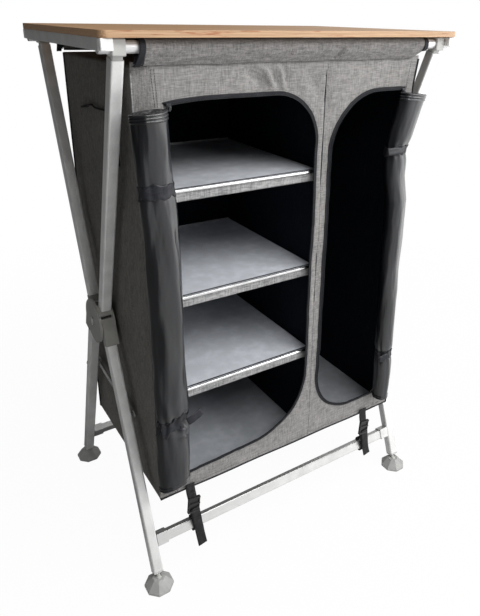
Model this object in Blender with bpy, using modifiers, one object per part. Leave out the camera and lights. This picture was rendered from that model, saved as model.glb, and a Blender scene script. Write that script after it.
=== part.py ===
"""Camping cupboard: a fabric box with shelves, hung in a folding aluminium scissor frame under a bamboo top.

Metres, +Z up. The front faces -Y, +X is the viewer's right, and the origin is on the floor under the centre.
"""
import math

import bmesh
import bpy
from mathutils import Matrix, Vector

# Clearances
FIT = 0.0003
RUNNING_FIT = 0.0006
WELD = 0.000001

# Table top
TOP_HEIGHT = 1.040
BOARD_WIDTH = 0.704
BOARD_DEPTH = 0.450
BOARD_THICKNESS = 0.010
BOARD_CORNER_RADIUS = 0.012
BOARD_EDGE_ROUND = 0.0015
SIDE_RAIL_WIDTH = 0.018
SIDE_RAIL_HEIGHT = 0.0167
SIDE_RAIL_WALL = 0.0016
SIDE_RAIL_CEILING = 0.0032
END_CAP_LENGTH = 0.013

# Scissor frame, in the plane of each side
LEG_INSET = 0.030
LEG_PLANE_X = BOARD_WIDTH / 2 - LEG_INSET
LEG_SIZE = 0.020
LEG_WALL = 0.0015
LEG_CORNER_RADIUS = 0.003
PIVOT_HEIGHT = 0.500
TOP_RAIL_Y = 0.200
TOP_RAIL_RADIUS = 0.009
UPPER_LEG_OFFSET = 0.020
LOWER_LEG_OFFSET = 0.035
FOOT_Y = 0.222

# Hubs and their rivets
HUB_RADIUS = 0.044
HUB_PLATE = 0.005
HUB_PLATE_GAP = 0.0005
HUB_STEP = 0.0008
HUB_BOSS_RADIUS = 0.011
UPPER_BLOCK_START = 0.030
UPPER_BLOCK_END = 0.042
LOWER_BLOCK_START = -0.016
LOWER_BLOCK_END = 0.038
RIVET_RADIUS = 0.004
RIVET_HEAD_RADIUS = 0.008
RIVET_HEAD_HEIGHT = 0.0022
SPIGOT_LENGTH = 0.016

# Leg tops
CONNECTOR_WIDTH = 0.021
CONNECTOR_SIZE = 0.024

# Bottom rails
BOTTOM_RAIL_CENTRE_Z = 0.090
BOTTOM_RAIL_HEIGHT = 0.020
BOTTOM_RAIL_DEPTH = 0.015
COLLAR_LENGTH = 0.022
COLLAR_WALL = 0.002

# Swivel feet
BALL_HEIGHT = 0.0175
BALL_RADIUS = 0.0072
FOOT_HEIGHT = 0.022
FOOT_RADIUS = 0.029
FOOT_RIM = 0.005
FOOT_TOP_RADIUS = 0.0125
FOOT_FACETS = 8
NECK_RADIUS = 0.0035
NECK_LENGTH = 0.014
STEM_CAP_LENGTH = 0.004

# Locking braces
BRACE_PIVOT_DROP = 0.150
BRACE_PIN_DROP = 0.170
BRACE_PIVOT_Z = PIVOT_HEIGHT - BRACE_PIVOT_DROP
BRACE_PIN_Z = PIVOT_HEIGHT - BRACE_PIN_DROP
BRACE_THICKNESS = 0.0035
BRACE_HALF_HEIGHT = 0.006
BRACE_HEAD_HALF_HEIGHT = 0.009
BRACE_EYE_RADIUS = 0.009
BRACE_PIN_RADIUS = 0.004
BRACE_HOOK_RELIEF = 0.005
STUD_HEAD_RADIUS = 0.007
STUD_HEAD_HEIGHT = 0.0026

# Fabric cupboard
BOX_LEG_GAP = 0.024
BOX_TOP_DROP = 0.049
BOX_HALF_WIDTH = LEG_PLANE_X - BOX_LEG_GAP
BOX_FRONT_Y = -0.197
BOX_BACK_Y = 0.155
BOX_BOTTOM_Z = 0.187
BOX_TOP_Z = TOP_HEIGHT - BOX_TOP_DROP
FABRIC = 0.002
FLOOR_THICKNESS = 0.008
DIVIDER_X = 0.058

# The right wall's cloth is slack: it is drawn in most below the top, and less at the top
SLACK_START_RISE = 0.012
SLACK_PULL = 0.027
SLACK_TOP_PULL = 0.0145
SLACK_DROP = 0.211
SLACK_START_Z = BOX_BOTTOM_Z + SLACK_START_RISE
SLACK_Z = BOX_TOP_Z - SLACK_DROP

# Door openings, each as left, right, bottom and top edge
LEFT_DOOR_MARGIN = 0.048
RIGHT_DOOR_MARGIN = 0.043
DOOR_SEAM_MARGIN = 0.017
DOOR_BOTTOM_MARGIN = 0.048
DOOR_TOP_MARGIN = 0.055
LEFT_DOOR_LEFT_X = LEFT_DOOR_MARGIN - BOX_HALF_WIDTH
LEFT_DOOR_RIGHT_X = DIVIDER_X - DOOR_SEAM_MARGIN
RIGHT_DOOR_LEFT_X = DIVIDER_X + DOOR_SEAM_MARGIN
RIGHT_DOOR_RIGHT_X = BOX_HALF_WIDTH - RIGHT_DOOR_MARGIN
DOOR_BOTTOM_Z = BOX_BOTTOM_Z + DOOR_BOTTOM_MARGIN
DOOR_TOP_Z = BOX_TOP_Z - DOOR_TOP_MARGIN
LEFT_DOOR_TOP_RADIUS = 0.090
LEFT_DOOR_BOTTOM_RADIUS = 0.130
RIGHT_DOOR_TOP_RADIUS = 0.110
RIGHT_DOOR_BOTTOM_RADIUS = 0.100
DOOR_HINGE_RADIUS = 0.020

# Rolled doors: half width and half depth of each roll, and where the ties draw it in
ROLL_TOP_DROP = 0.006
ROLL_BOTTOM_RISE = 0.045
ROLL_OVERHANG = 0.006
ROLL_TOP_Z = DOOR_TOP_Z - ROLL_TOP_DROP
ROLL_BOTTOM_Z = BOX_BOTTOM_Z + ROLL_BOTTOM_RISE
ROLL_OUTER_X = BOX_HALF_WIDTH + ROLL_OVERHANG
LEFT_ROLL_TOP_HALF_WIDTH = 0.028
LEFT_ROLL_BOTTOM_HALF_WIDTH = 0.032
LEFT_ROLL_FLARE = 0.007
LEFT_FLARE_DROP = 0.230
RIGHT_ROLL_TOP_HALF_WIDTH = 0.030
RIGHT_ROLL_BOTTOM_HALF_WIDTH = 0.019
RIGHT_ROLL_INSET = 0.016
RIGHT_ROLL_FLARE = 0.020
ROLL_HALF_DEPTH = 0.020
ROLL_ROUNDING = 0.957
ROLL_TIE_SHRINK = 0.003
UPPER_TIE_DROP = 0.120
LOWER_TIE_RISE = 0.127
TIE_UPPER_Z = ROLL_TOP_Z - UPPER_TIE_DROP
TIE_LOWER_Z = ROLL_BOTTOM_Z + LOWER_TIE_RISE
TIE_WIDTH = 0.014

# Shelves, at these shares of the box's height
SHELF_SHARES = (0.27985, 0.51741, 0.75871)
SHELF_THICKNESS = 0.005
SHELF_FRONT_GAP = 0.006
SHELF_BACK_GAP = 0.005
SHELF_ROD_RADIUS = 0.003
SHELF_BAND_HEIGHT = 0.016
SHELF_BAND_THICKNESS = 0.0016

# Sleeves round the top rails
SLEEVE_END_GAP = 0.014
SLEEVE_HALF_LENGTH = BOX_HALF_WIDTH - SLEEVE_END_GAP
SLEEVE_THICKNESS = 0.0018
SLEEVE_TAIL_THICKNESS = 0.003

# Tension straps below the box
STRAP_INSET = 0.068
STRAP_X = BOX_HALF_WIDTH - STRAP_INSET
STRAP_WIDTH = 0.020
STRAP_THICKNESS = 0.0016
BUCKLE_WIDTH = 0.026
BUCKLE_HEIGHT = 0.030
BUCKLE_DEPTH = 0.008
STRAP_TAIL_LENGTH = 0.040

ARC_STEPS = 6
ROUND_SIDES = 16

# Sizes that follow from the ones above
BOARD_UNDERSIDE_Z = TOP_HEIGHT - BOARD_THICKNESS
SIDE_RAIL_TOP_Z = BOARD_UNDERSIDE_Z - FIT
SIDE_RAIL_CEILING_Z = SIDE_RAIL_TOP_Z - SIDE_RAIL_CEILING
TOP_RAIL_Z = SIDE_RAIL_CEILING_Z - FIT - TOP_RAIL_RADIUS
SIDE_RAIL_INNER_X = LEG_PLANE_X + CONNECTOR_WIDTH / 2 + RUNNING_FIT
SIDE_RAIL_X = SIDE_RAIL_INNER_X + SIDE_RAIL_WIDTH / 2
SIDE_RAIL_HALF_LENGTH = TOP_RAIL_Y + TOP_RAIL_RADIUS + FIT
LEG_INNER_X = LEG_PLANE_X - LEG_SIZE / 2
LEG_OUTER_X = LEG_PLANE_X + LEG_SIZE / 2
BOTTOM_RAIL_Y = LOWER_LEG_OFFSET + (FOOT_Y - LOWER_LEG_OFFSET) * (
    (PIVOT_HEIGHT - BOTTOM_RAIL_CENTRE_Z) / (PIVOT_HEIGHT - BALL_HEIGHT))
SHELF_FRONT_Y = BOX_FRONT_Y + FABRIC + SHELF_FRONT_GAP
SHELF_BACK_Y = BOX_BACK_Y - FABRIC - SHELF_BACK_GAP
SHELF_AXIS_Y = (SHELF_FRONT_Y + SHELF_BACK_Y) / 2
STRAP_ANGLE = math.atan2(FOOT_Y - LOWER_LEG_OFFSET, PIVOT_HEIGHT - BALL_HEIGHT)

SIDES = {"left": -1, "right": 1}


def clear_scene():
    """Remove every object, so the model starts from nothing."""
    for old in list(bpy.data.objects):
        bpy.data.objects.remove(old, do_unlink=True)


def new_collection(name):
    """Make a collection under the scene."""
    made = bpy.data.collections.new(name)
    bpy.context.scene.collection.children.link(made)
    return made


def material(name, colour, roughness, metallic=0.0):
    """Make a plain Principled material."""
    made = bpy.data.materials.new(name)
    made.use_nodes = True
    shader = made.node_tree.nodes["Principled BSDF"]
    shader.inputs["Base Color"].default_value = (*colour, 1.0)
    shader.inputs["Roughness"].default_value = roughness
    shader.inputs["Metallic"].default_value = metallic
    return made


clear_scene()
PARTS = new_collection("camping_cupboard")

BAMBOO = material("bamboo", (0.50, 0.29, 0.13), 0.45)
ALUMINIUM = material("brushed_aluminium", (0.62, 0.62, 0.60), 0.35, 1.0)
DARK_PLASTIC = material("hub_plastic", (0.09, 0.09, 0.085), 0.5)
GREY_PLASTIC = material("foot_plastic", (0.45, 0.45, 0.44), 0.5)
WHITE_PLASTIC = material("cap_plastic", (0.80, 0.80, 0.78), 0.4)
GREY_FABRIC = material("grey_melange", (0.27, 0.26, 0.25), 0.9)
DARK_FABRIC = material("charcoal_fabric", (0.025, 0.025, 0.024), 0.9)
ROLL_FABRIC = material("coated_door_fabric", (0.020, 0.022, 0.027), 0.45)
WEBBING = material("black_webbing", (0.018, 0.018, 0.020), 0.8)
SHELF_BOARD = material("shelf_board", (0.38, 0.39, 0.42), 0.45)
STEEL = material("steel", (0.70, 0.70, 0.70), 0.25, 1.0)


def joint_point(name, location):
    """An empty that marks a joint's axis and carries the pieces that turn about it."""
    empty = bpy.data.objects.new(name, None)
    empty.location = location
    PARTS.objects.link(empty)
    return empty


def finish(obj, name, finish_material, carrier):
    """Name a finished piece, give it its material and hang it on the empty that carries it."""
    bpy.context.view_layer.update()
    world = obj.matrix_world.copy()
    for collection in list(obj.users_collection):
        collection.objects.unlink(obj)
    PARTS.objects.link(obj)
    obj.name = name
    obj.data.name = name
    obj.data.materials.clear()
    obj.data.materials.append(finish_material)
    local = Matrix.Translation(-carrier.location) @ world
    obj.parent = carrier
    obj.matrix_basis = local
    return obj


def as_mesh(obj):
    """Turn a curve, or an object with modifiers, into a plain welded mesh at the same place."""
    bpy.context.view_layer.update()
    evaluated = obj.evaluated_get(bpy.context.evaluated_depsgraph_get())
    mesh = bpy.data.meshes.new_from_object(evaluated)
    shell = bmesh.new()
    shell.from_mesh(mesh)
    bmesh.ops.remove_doubles(shell, verts=shell.verts, dist=WELD)
    shell.to_mesh(mesh)
    shell.free()
    made = bpy.data.objects.new(obj.name, mesh)
    made.matrix_world = obj.matrix_world.copy()
    bpy.context.scene.collection.objects.link(made)
    bpy.data.objects.remove(obj, do_unlink=True)
    return made


def bake_transform(obj):
    """Move an object's place and turn into its mesh."""
    bpy.context.view_layer.update()
    obj.data.transform(obj.matrix_world)
    obj.matrix_world = Matrix.Identity(4)
    return obj


def combine(pieces, operation):
    """Join or cut the first mesh by the others, with exact Booleans, and remove the others."""
    base = pieces[0]
    for other in pieces[1:]:
        step = base.modifiers.new("boolean", "BOOLEAN")
        step.operation = operation
        step.object = other
        done = as_mesh(base)
        bpy.data.objects.remove(other, do_unlink=True)
        base = done
    return base


def fuse(*pieces):
    """One solid from several that overlap."""
    return combine([bake_transform(as_mesh(piece)) for piece in pieces], "UNION")


def carve(base, *cutters):
    """A solid less its cutters."""
    solids = [bake_transform(as_mesh(piece)) for piece in (base, *cutters)]
    return combine(solids, "DIFFERENCE")


def smooth(obj, angle=math.radians(35)):
    """Shade the round faces smooth and keep the edges sharp."""
    obj.data.shade_smooth()
    obj.data.set_sharp_from_angle(angle=angle)
    return obj


def block(low, high, edge=0.0, turn_x=0.0, about=(0, 0, 0)):
    """A box between two corners, with rounded edges, turned about X through a point."""
    centre = (Vector(low) + Vector(high)) / 2
    size = Vector(high) - Vector(low)
    bpy.ops.mesh.primitive_cube_add(size=1)
    made = bpy.context.object
    made.data.transform(Matrix.Diagonal((*size, 1)))
    if edge:
        rounding = made.modifiers.new("edges", "BEVEL")
        rounding.width = edge
        rounding.segments = 1
    pivot = Matrix.Translation(Vector(about))
    made.matrix_world = pivot @ Matrix.Rotation(turn_x, 4, "X") @ pivot.inverted() @ Matrix.Translation(centre)
    return made


def post(width, first, last, corner, segments):
    """A square bar along Z with its long edges rounded."""
    shape = bmesh.new()
    bmesh.ops.create_cube(shape, size=1)
    bmesh.ops.scale(shape, vec=(width, width, last - first), verts=shape.verts)
    bmesh.ops.translate(shape, vec=(0, 0, (first + last) / 2), verts=shape.verts)
    long_edges = [edge for edge in shape.edges if abs(edge.verts[0].co.z - edge.verts[1].co.z) > width / 2]
    bmesh.ops.bevel(shape, geom=long_edges, offset=corner, segments=segments, profile=0.5, affect="EDGES")
    mesh = bpy.data.meshes.new("post")
    shape.to_mesh(mesh)
    shape.free()
    made = bpy.data.objects.new("post", mesh)
    bpy.context.scene.collection.objects.link(made)
    return made


def cylinder(start, end, radius, sides=ROUND_SIDES, end_radius=None):
    """A cylinder or cone between two points."""
    start = Vector(start)
    end = Vector(end)
    along = end - start
    last = radius if end_radius is None else end_radius
    bpy.ops.mesh.primitive_cone_add(vertices=sides, radius1=radius, radius2=last, depth=along.length)
    made = bpy.context.object
    turn = along.to_track_quat("Z", "Y").to_matrix().to_4x4()
    made.matrix_world = Matrix.Translation((start + end) / 2) @ turn
    return made


def arc(centre, radius, first, last, steps=ARC_STEPS):
    """Points of an arc in a plane, angles in degrees."""
    points = []
    for step in range(steps + 1):
        angle = math.radians(first + (last - first) * step / steps)
        points.append((centre[0] + radius * math.cos(angle), centre[1] + radius * math.sin(angle)))
    return points


def rounded_rectangle(low, high, radii, steps=ARC_STEPS):
    """A rectangle whose corners have the radii given from the lower left one round by the lower right."""
    (left, bottom), (right, top) = low, high
    a, b, c, d = radii
    points = arc((left + a, bottom + a), a, 180, 270, steps)
    points += arc((right - b, bottom + b), b, 270, 360, steps)
    points += arc((right - c, top - c), c, 0, 90, steps)
    points += arc((left + d, top - d), d, 90, 180, steps)
    return points


# A flat outline is drawn in its own plane and then turned to face along one axis
FACING = {
    "X": Matrix(((0, 0, 1, 0), (1, 0, 0, 0), (0, 1, 0, 0), (0, 0, 0, 1))),
    "Y": Matrix(((1, 0, 0, 0), (0, 0, -1, 0), (0, 1, 0, 0), (0, 0, 0, 1))),
    "Z": Matrix.Identity(4),
}


def slab(outlines, facing, start, end):
    """A flat outline with any holes, as thick as from start to end along the axis that it faces."""
    curve = bpy.data.curves.new("outline", "CURVE")
    curve.dimensions = "2D"
    curve.fill_mode = "BOTH"
    curve.extrude = abs(end - start) / 2
    for outline in outlines:
        spline = curve.splines.new("POLY")
        spline.points.add(len(outline) - 1)
        for point, (across, up) in zip(spline.points, outline):
            point.co = (across, up, 0, 1)
        spline.use_cyclic_u = True
    made = bpy.data.objects.new("slab", curve)
    bpy.context.scene.collection.objects.link(made)
    middle = (start + end) / 2
    offset = {"X": (middle, 0, 0), "Y": (0, middle, 0), "Z": (0, 0, middle)}[facing]
    made.matrix_world = Matrix.Translation(Vector(offset)) @ FACING[facing]
    return made


def turned(profile, sides):
    """A turned solid from a profile of radius and height that runs down its outer side."""
    mesh = bpy.data.meshes.new("profile")
    points = [(radius, 0, height) for radius, height in profile]
    mesh.from_pydata(points, [(step, step + 1) for step in range(len(points) - 1)], [])
    made = bpy.data.objects.new("turned", mesh)
    bpy.context.scene.collection.objects.link(made)
    screw = made.modifiers.new("screw", "SCREW")
    screw.steps = sides
    screw.render_steps = sides
    screw.use_merge_vertices = True
    screw.merge_threshold = WELD
    return made


def bore_radius(radius):
    """The radius of a many-sided bore that clears a round bar of the radius given."""
    return (radius + FIT) / math.cos(math.pi / ROUND_SIDES)


def ordered(side, near, far):
    """Two distances from the middle as low and high x on one side."""
    return sorted((side * near, side * far))


class LegLine:
    """The axis of a leg in its plane, from its offset at the pivot's height to its far end."""

    def __init__(self, offset_y, far_y, far_z):
        self.start = Vector((0, offset_y, PIVOT_HEIGHT))
        reach = Vector((0, far_y, far_z)) - self.start
        self.length = reach.length
        self.direction = reach.normalized()
        self.turn = math.atan2(-self.direction.y, self.direction.z)

    def point(self, distance, x=0.0):
        """A point on the axis."""
        return self.start + self.direction * distance + Vector((x, 0, 0))

    def lay(self, made, x=0.0):
        """Put an object made along Z at the origin onto this axis."""
        place = Matrix.Translation(self.start + Vector((x, 0, 0))) @ Matrix.Rotation(self.turn, 4, "X")
        made.matrix_world = place @ made.matrix_world
        return made

    def bar(self, first, last, low_x, high_x, width, edge=0.0):
        """A box along the axis between two distances and two x values."""
        made = block((low_x, -width / 2, first), (high_x, width / 2, last), edge)
        return self.lay(made)

    def tube(self, first, last, x):
        """A square tube with rounded corners, open at both ends."""
        bore = LEG_SIZE - 2 * LEG_WALL
        outside = post(LEG_SIZE, first, last, LEG_CORNER_RADIUS, 3)
        inside = post(bore, first - LEG_SIZE, last + LEG_SIZE, LEG_WALL, 1)
        return self.lay(carve(outside, inside), x)


SPIGOT_WIDTH = LEG_SIZE - 2 * LEG_WALL - 2 * FIT


def spigot(line, first, last, x):
    """The tongue of a plastic fitting that goes inside a leg tube."""
    half = SPIGOT_WIDTH / 2
    return line.bar(first, last, x - half, x + half, SPIGOT_WIDTH, LEG_WALL)


def table_top(carrier):
    """The board, the two angle rails under its ends and their end caps."""
    half_width = BOARD_WIDTH / 2
    half_depth = BOARD_DEPTH / 2
    outline = rounded_rectangle(
        (-half_width, -half_depth), (half_width, half_depth), (BOARD_CORNER_RADIUS,) * 4)
    board = as_mesh(slab((outline,), "Z", BOARD_UNDERSIDE_Z, TOP_HEIGHT))
    rounding = board.modifiers.new("edges", "BEVEL")
    rounding.width = BOARD_EDGE_ROUND
    rounding.segments = 2
    rounding.angle_limit = math.radians(60)
    finish(board, "bamboo_board", BAMBOO, carrier)
    rail_low_z = SIDE_RAIL_TOP_Z - SIDE_RAIL_HEIGHT
    for name, side in SIDES.items():
        inner = SIDE_RAIL_INNER_X
        outer = inner + SIDE_RAIL_WIDTH
        profile = [
            (side * inner, SIDE_RAIL_TOP_Z), (side * inner, SIDE_RAIL_CEILING_Z),
            (side * (outer - SIDE_RAIL_WALL), SIDE_RAIL_CEILING_Z),
            (side * (outer - SIDE_RAIL_WALL), rail_low_z), (side * outer, rail_low_z),
            (side * outer, SIDE_RAIL_TOP_Z)]
        rail = slab((profile,), "Y", -SIDE_RAIL_HALF_LENGTH, SIDE_RAIL_HALF_LENGTH)
        finish(rail, "side_rail_" + name, ALUMINIUM, carrier)
        low_x, high_x = ordered(side, inner, outer)
        for place, end in (("front", -1), ("rear", 1)):
            low_y, high_y = ordered(end, SIDE_RAIL_HALF_LENGTH + FIT,
                                    SIDE_RAIL_HALF_LENGTH + FIT + END_CAP_LENGTH)
            cap = block((low_x, low_y, rail_low_z), (high_x, high_y, SIDE_RAIL_TOP_Z), 0.001)
            finish(cap, f"rail_cap_{place}_{name}", WHITE_PLASTIC, carrier)


def hub(side, is_outer, upper, lower):
    """A plastic hub: its round plate, the sockets of two legs, a boss and the rivet's hole."""
    if is_outer:
        plate_near = LEG_OUTER_X + HUB_PLATE_GAP
        plate_far = plate_near + HUB_PLATE
        low_x, high_x = ordered(side, LEG_INNER_X, plate_far - HUB_STEP)
    else:
        plate_near = LEG_INNER_X - HUB_PLATE_GAP - HUB_PLATE
        plate_far = plate_near + HUB_PLATE
        low_x, high_x = ordered(side, plate_near + HUB_STEP, LEG_OUTER_X)
    middle = Vector((0, 0, PIVOT_HEIGHT))
    plate = cylinder(middle + Vector((side * plate_near, 0, 0)), middle + Vector((side * plate_far, 0, 0)),
                     HUB_RADIUS, 2 * ROUND_SIDES)
    solids = [
        plate,
        upper.bar(UPPER_BLOCK_START, UPPER_BLOCK_END, low_x, high_x, LEG_SIZE),
        lower.bar(LOWER_BLOCK_START, LOWER_BLOCK_END, low_x, high_x, LEG_SIZE),
        spigot(upper, UPPER_BLOCK_END - LEG_WALL, UPPER_BLOCK_END + SPIGOT_LENGTH, side * LEG_PLANE_X),
        spigot(lower, LOWER_BLOCK_END - LEG_WALL, LOWER_BLOCK_END + SPIGOT_LENGTH, side * LEG_PLANE_X)]
    if is_outer:
        boss_end = LEG_INNER_X - HUB_PLATE_GAP + RUNNING_FIT
        solids.append(cylinder(middle + Vector((side * (plate_near + HUB_PLATE / 2), 0, 0)),
                               middle + Vector((side * boss_end, 0, 0)), HUB_BOSS_RADIUS))
    reach = LEG_PLANE_X + LEG_SIZE
    hole = cylinder(middle + Vector((side * (LEG_PLANE_X - LEG_SIZE), 0, 0)),
                    middle + Vector((side * reach, 0, 0)), bore_radius(RIVET_RADIUS))
    return smooth(carve(fuse(*solids), hole))


def leg_connector(side, upper, leg_end):
    """The plastic block at a leg's top that the round top rail passes through."""
    x = side * LEG_PLANE_X
    rail = Vector((0, upper.point(upper.length).y, TOP_RAIL_Z))
    half = Vector((CONNECTOR_WIDTH, CONNECTOR_SIZE, CONNECTOR_SIZE)) / 2
    centre = rail + Vector((x, 0, 0))
    body = block(centre - half, centre + half, LEG_WALL)
    tongue = spigot(upper, leg_end - SPIGOT_LENGTH, upper.length, x)
    bore = cylinder(centre - Vector((LEG_SIZE, 0, 0)), centre + Vector((LEG_SIZE, 0, 0)),
                    bore_radius(TOP_RAIL_RADIUS))
    return smooth(carve(fuse(body, tongue), bore))


def foot_stem(side, lower):
    """The plug in a leg's foot end, with the neck and ball that carry the foot."""
    x = side * LEG_PLANE_X
    half = LEG_SIZE / 2
    cap_end = lower.length - NECK_LENGTH
    cap_start = cap_end - STEM_CAP_LENGTH
    cap = lower.bar(cap_start, cap_end, x - half, x + half, LEG_SIZE, LEG_WALL)
    tongue = spigot(lower, cap_start - SPIGOT_LENGTH, cap_end - LEG_WALL, x)
    neck = cylinder(lower.point(cap_end - LEG_WALL, x), lower.point(lower.length, x), NECK_RADIUS, 12)
    bpy.ops.mesh.primitive_uv_sphere_add(segments=16, ring_count=8, radius=BALL_RADIUS)
    ball = bpy.context.object
    ball.matrix_world = Matrix.Translation(lower.point(lower.length, x))
    return smooth(fuse(cap, tongue, neck, ball))


BALL_PLAY = 0.0006


def swivel_foot(side, lower):
    """A faceted foot with a round socket for the stem's ball."""
    place = lower.point(lower.length, side * LEG_PLANE_X)
    profile = ((0, FOOT_HEIGHT), (FOOT_TOP_RADIUS, FOOT_HEIGHT), (FOOT_RADIUS, FOOT_RIM), (FOOT_RADIUS, 0), (0, 0))
    body = turned(profile, FOOT_FACETS)
    facet_turn = Matrix.Rotation(math.pi / FOOT_FACETS, 4, "Z")
    body.matrix_world = Matrix.Translation((place.x, place.y, 0)) @ facet_turn
    bpy.ops.mesh.primitive_uv_sphere_add(segments=16, ring_count=8, radius=BALL_RADIUS + BALL_PLAY)
    socket = bpy.context.object
    socket.matrix_world = Matrix.Translation(place)
    return carve(body, socket)


def bottom_rail(sign):
    """A rectangular rail between the lower legs of one frame, tilted with them, with its end collars."""
    tilt = sign * STRAP_ANGLE
    place = Matrix.Translation((0, sign * BOTTOM_RAIL_Y, BOTTOM_RAIL_CENTRE_Z)) @ Matrix.Rotation(tilt, 4, "X")

    def ring(depth, height, wall, start, end, corner):
        outside = (depth / 2, height / 2)
        inside = (depth / 2 - wall, height / 2 - wall)
        outlines = [rounded_rectangle((-a, -b), (a, b), (corner,) * 4, 1) for a, b in (outside, inside)]
        made = slab(outlines, "X", start, end)
        made.matrix_world = place @ made.matrix_world
        return made

    end = LEG_INNER_X - FIT
    rail = ring(BOTTOM_RAIL_DEPTH, BOTTOM_RAIL_HEIGHT, LEG_WALL, -end, end, 0.0012)
    wide = 2 * COLLAR_WALL
    collars = []
    for side in SIDES.values():
        low_x, high_x = ordered(side, end - COLLAR_LENGTH, end)
        collars.append(ring(BOTTOM_RAIL_DEPTH + wide, BOTTOM_RAIL_HEIGHT + wide, COLLAR_WALL + LEG_WALL / 2,
                            low_x, high_x, 0.001))
    return smooth(fuse(rail, *collars))


def rail_sleeve(rail_y, tail_y):
    """The fabric loop round a top rail, with the seam allowance that runs down to the box."""
    centre = Vector((rail_y, TOP_RAIL_Z))
    tail = Vector((tail_y, BOX_TOP_Z + FIT + SLEEVE_TAIL_THICKNESS / 2))
    reach = tail - centre
    heading = math.degrees(math.atan2(reach.y, reach.x))
    across = Vector((-reach.y, reach.x)).normalized() * SLEEVE_TAIL_THICKNESS / 2
    hole_radius = bore_radius(TOP_RAIL_RADIUS)
    outside = arc(centre, hole_radius + SLEEVE_THICKNESS, heading + 25, heading + 335, 14)
    outside += [tuple(tail - across), tuple(tail + across)]
    hole = arc(centre, hole_radius, 0, 360 - 360 / ROUND_SIDES, ROUND_SIDES - 1)
    return smooth(as_mesh(slab((outside, hole), "X", -SLEEVE_HALF_LENGTH, SLEEVE_HALF_LENGTH)))


def tension_strap(sign, side, box_edge_y):
    """A webbing strap from the box's lower edge, through a buckle and round a bottom rail."""
    tilt = sign * STRAP_ANGLE
    rail = Vector((0, sign * BOTTOM_RAIL_Y, BOTTOM_RAIL_CENTRE_Z))
    place = Matrix.Translation(rail) @ Matrix.Rotation(tilt, 4, "X")
    half_depth = BOTTOM_RAIL_DEPTH / 2 + FIT
    half_height = BOTTOM_RAIL_HEIGHT / 2 + FIT
    thick = STRAP_THICKNESS
    front_corner = place @ Vector((0, sign * (half_depth + thick / 2), half_height))
    top = Vector((0, box_edge_y, BOX_BOTTOM_Z - FIT - thick / 2))
    x = side * STRAP_X
    low_x = x - STRAP_WIDTH / 2
    high_x = x + STRAP_WIDTH / 2
    outer = rounded_rectangle((-half_depth - thick, -half_height - thick),
                              (half_depth + thick, half_height + thick), (0.002,) * 4, 1)
    inner = rounded_rectangle((-half_depth, -half_height), (half_depth, half_height), (FIT,) * 4, 1)
    loop = slab((outer, inner), "X", low_x, high_x)
    loop.matrix_world = place @ loop.matrix_world
    run = front_corner - top
    lean = math.atan2(-run.y, run.z)
    upright = Matrix.Translation(top) @ Matrix.Rotation(lean, 4, "X")
    web = block((low_x, -thick / 2, 0), (high_x, thick / 2, run.length))
    web.matrix_world = upright @ web.matrix_world
    middle = run.length * 0.52
    buckle = block((x - BUCKLE_WIDTH / 2, -BUCKLE_DEPTH / 2, middle - BUCKLE_HEIGHT / 2),
                   (x + BUCKLE_WIDTH / 2, BUCKLE_DEPTH / 2, middle + BUCKLE_HEIGHT / 2), 0.0015)
    buckle.matrix_world = upright @ buckle.matrix_world
    low_corner = place @ Vector((0, sign * (half_depth + thick / 2), -half_height))
    low_y, high_y = sorted((low_corner.y, low_corner.y + sign * thick))
    tail = block((low_x, low_y, low_corner.z - STRAP_TAIL_LENGTH), (high_x, high_y, low_corner.z + 4 * thick))
    return fuse(web, buckle, loop, tail)


def brace_points(upper_side):
    """Where a brace turns on its own frame's lower leg, and where it hooks on the other's."""
    def on_leg(sign, height):
        lean = (FOOT_Y - LOWER_LEG_OFFSET) / (PIVOT_HEIGHT - BALL_HEIGHT)
        return Vector((sign * (LOWER_LEG_OFFSET + lean * (PIVOT_HEIGHT - height)), height))
    return on_leg(-upper_side, BRACE_PIVOT_Z), on_leg(upper_side, BRACE_PIN_Z)


def brace_stud(side, place, through):
    """A stud through a leg's inner face with a wide head, and for the pivot a rivet head outside."""
    head_x = LEG_INNER_X - FIT - BRACE_THICKNESS - 2 * FIT

    def at(x):
        return (side * x, place.x, place.y)

    shaft = cylinder(at(LEG_INNER_X + LEG_WALL / 2), at(head_x - STUD_HEAD_HEIGHT / 2), BRACE_PIN_RADIUS)
    head = cylinder(at(head_x), at(head_x - STUD_HEAD_HEIGHT), STUD_HEAD_RADIUS)
    solids = [shaft, head]
    if through:
        solids.append(cylinder(at(LEG_OUTER_X - LEG_WALL / 2), at(LEG_OUTER_X + STUD_HEAD_HEIGHT),
                               STUD_HEAD_RADIUS, end_radius=BRACE_PIN_RADIUS))
    return solids


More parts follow.
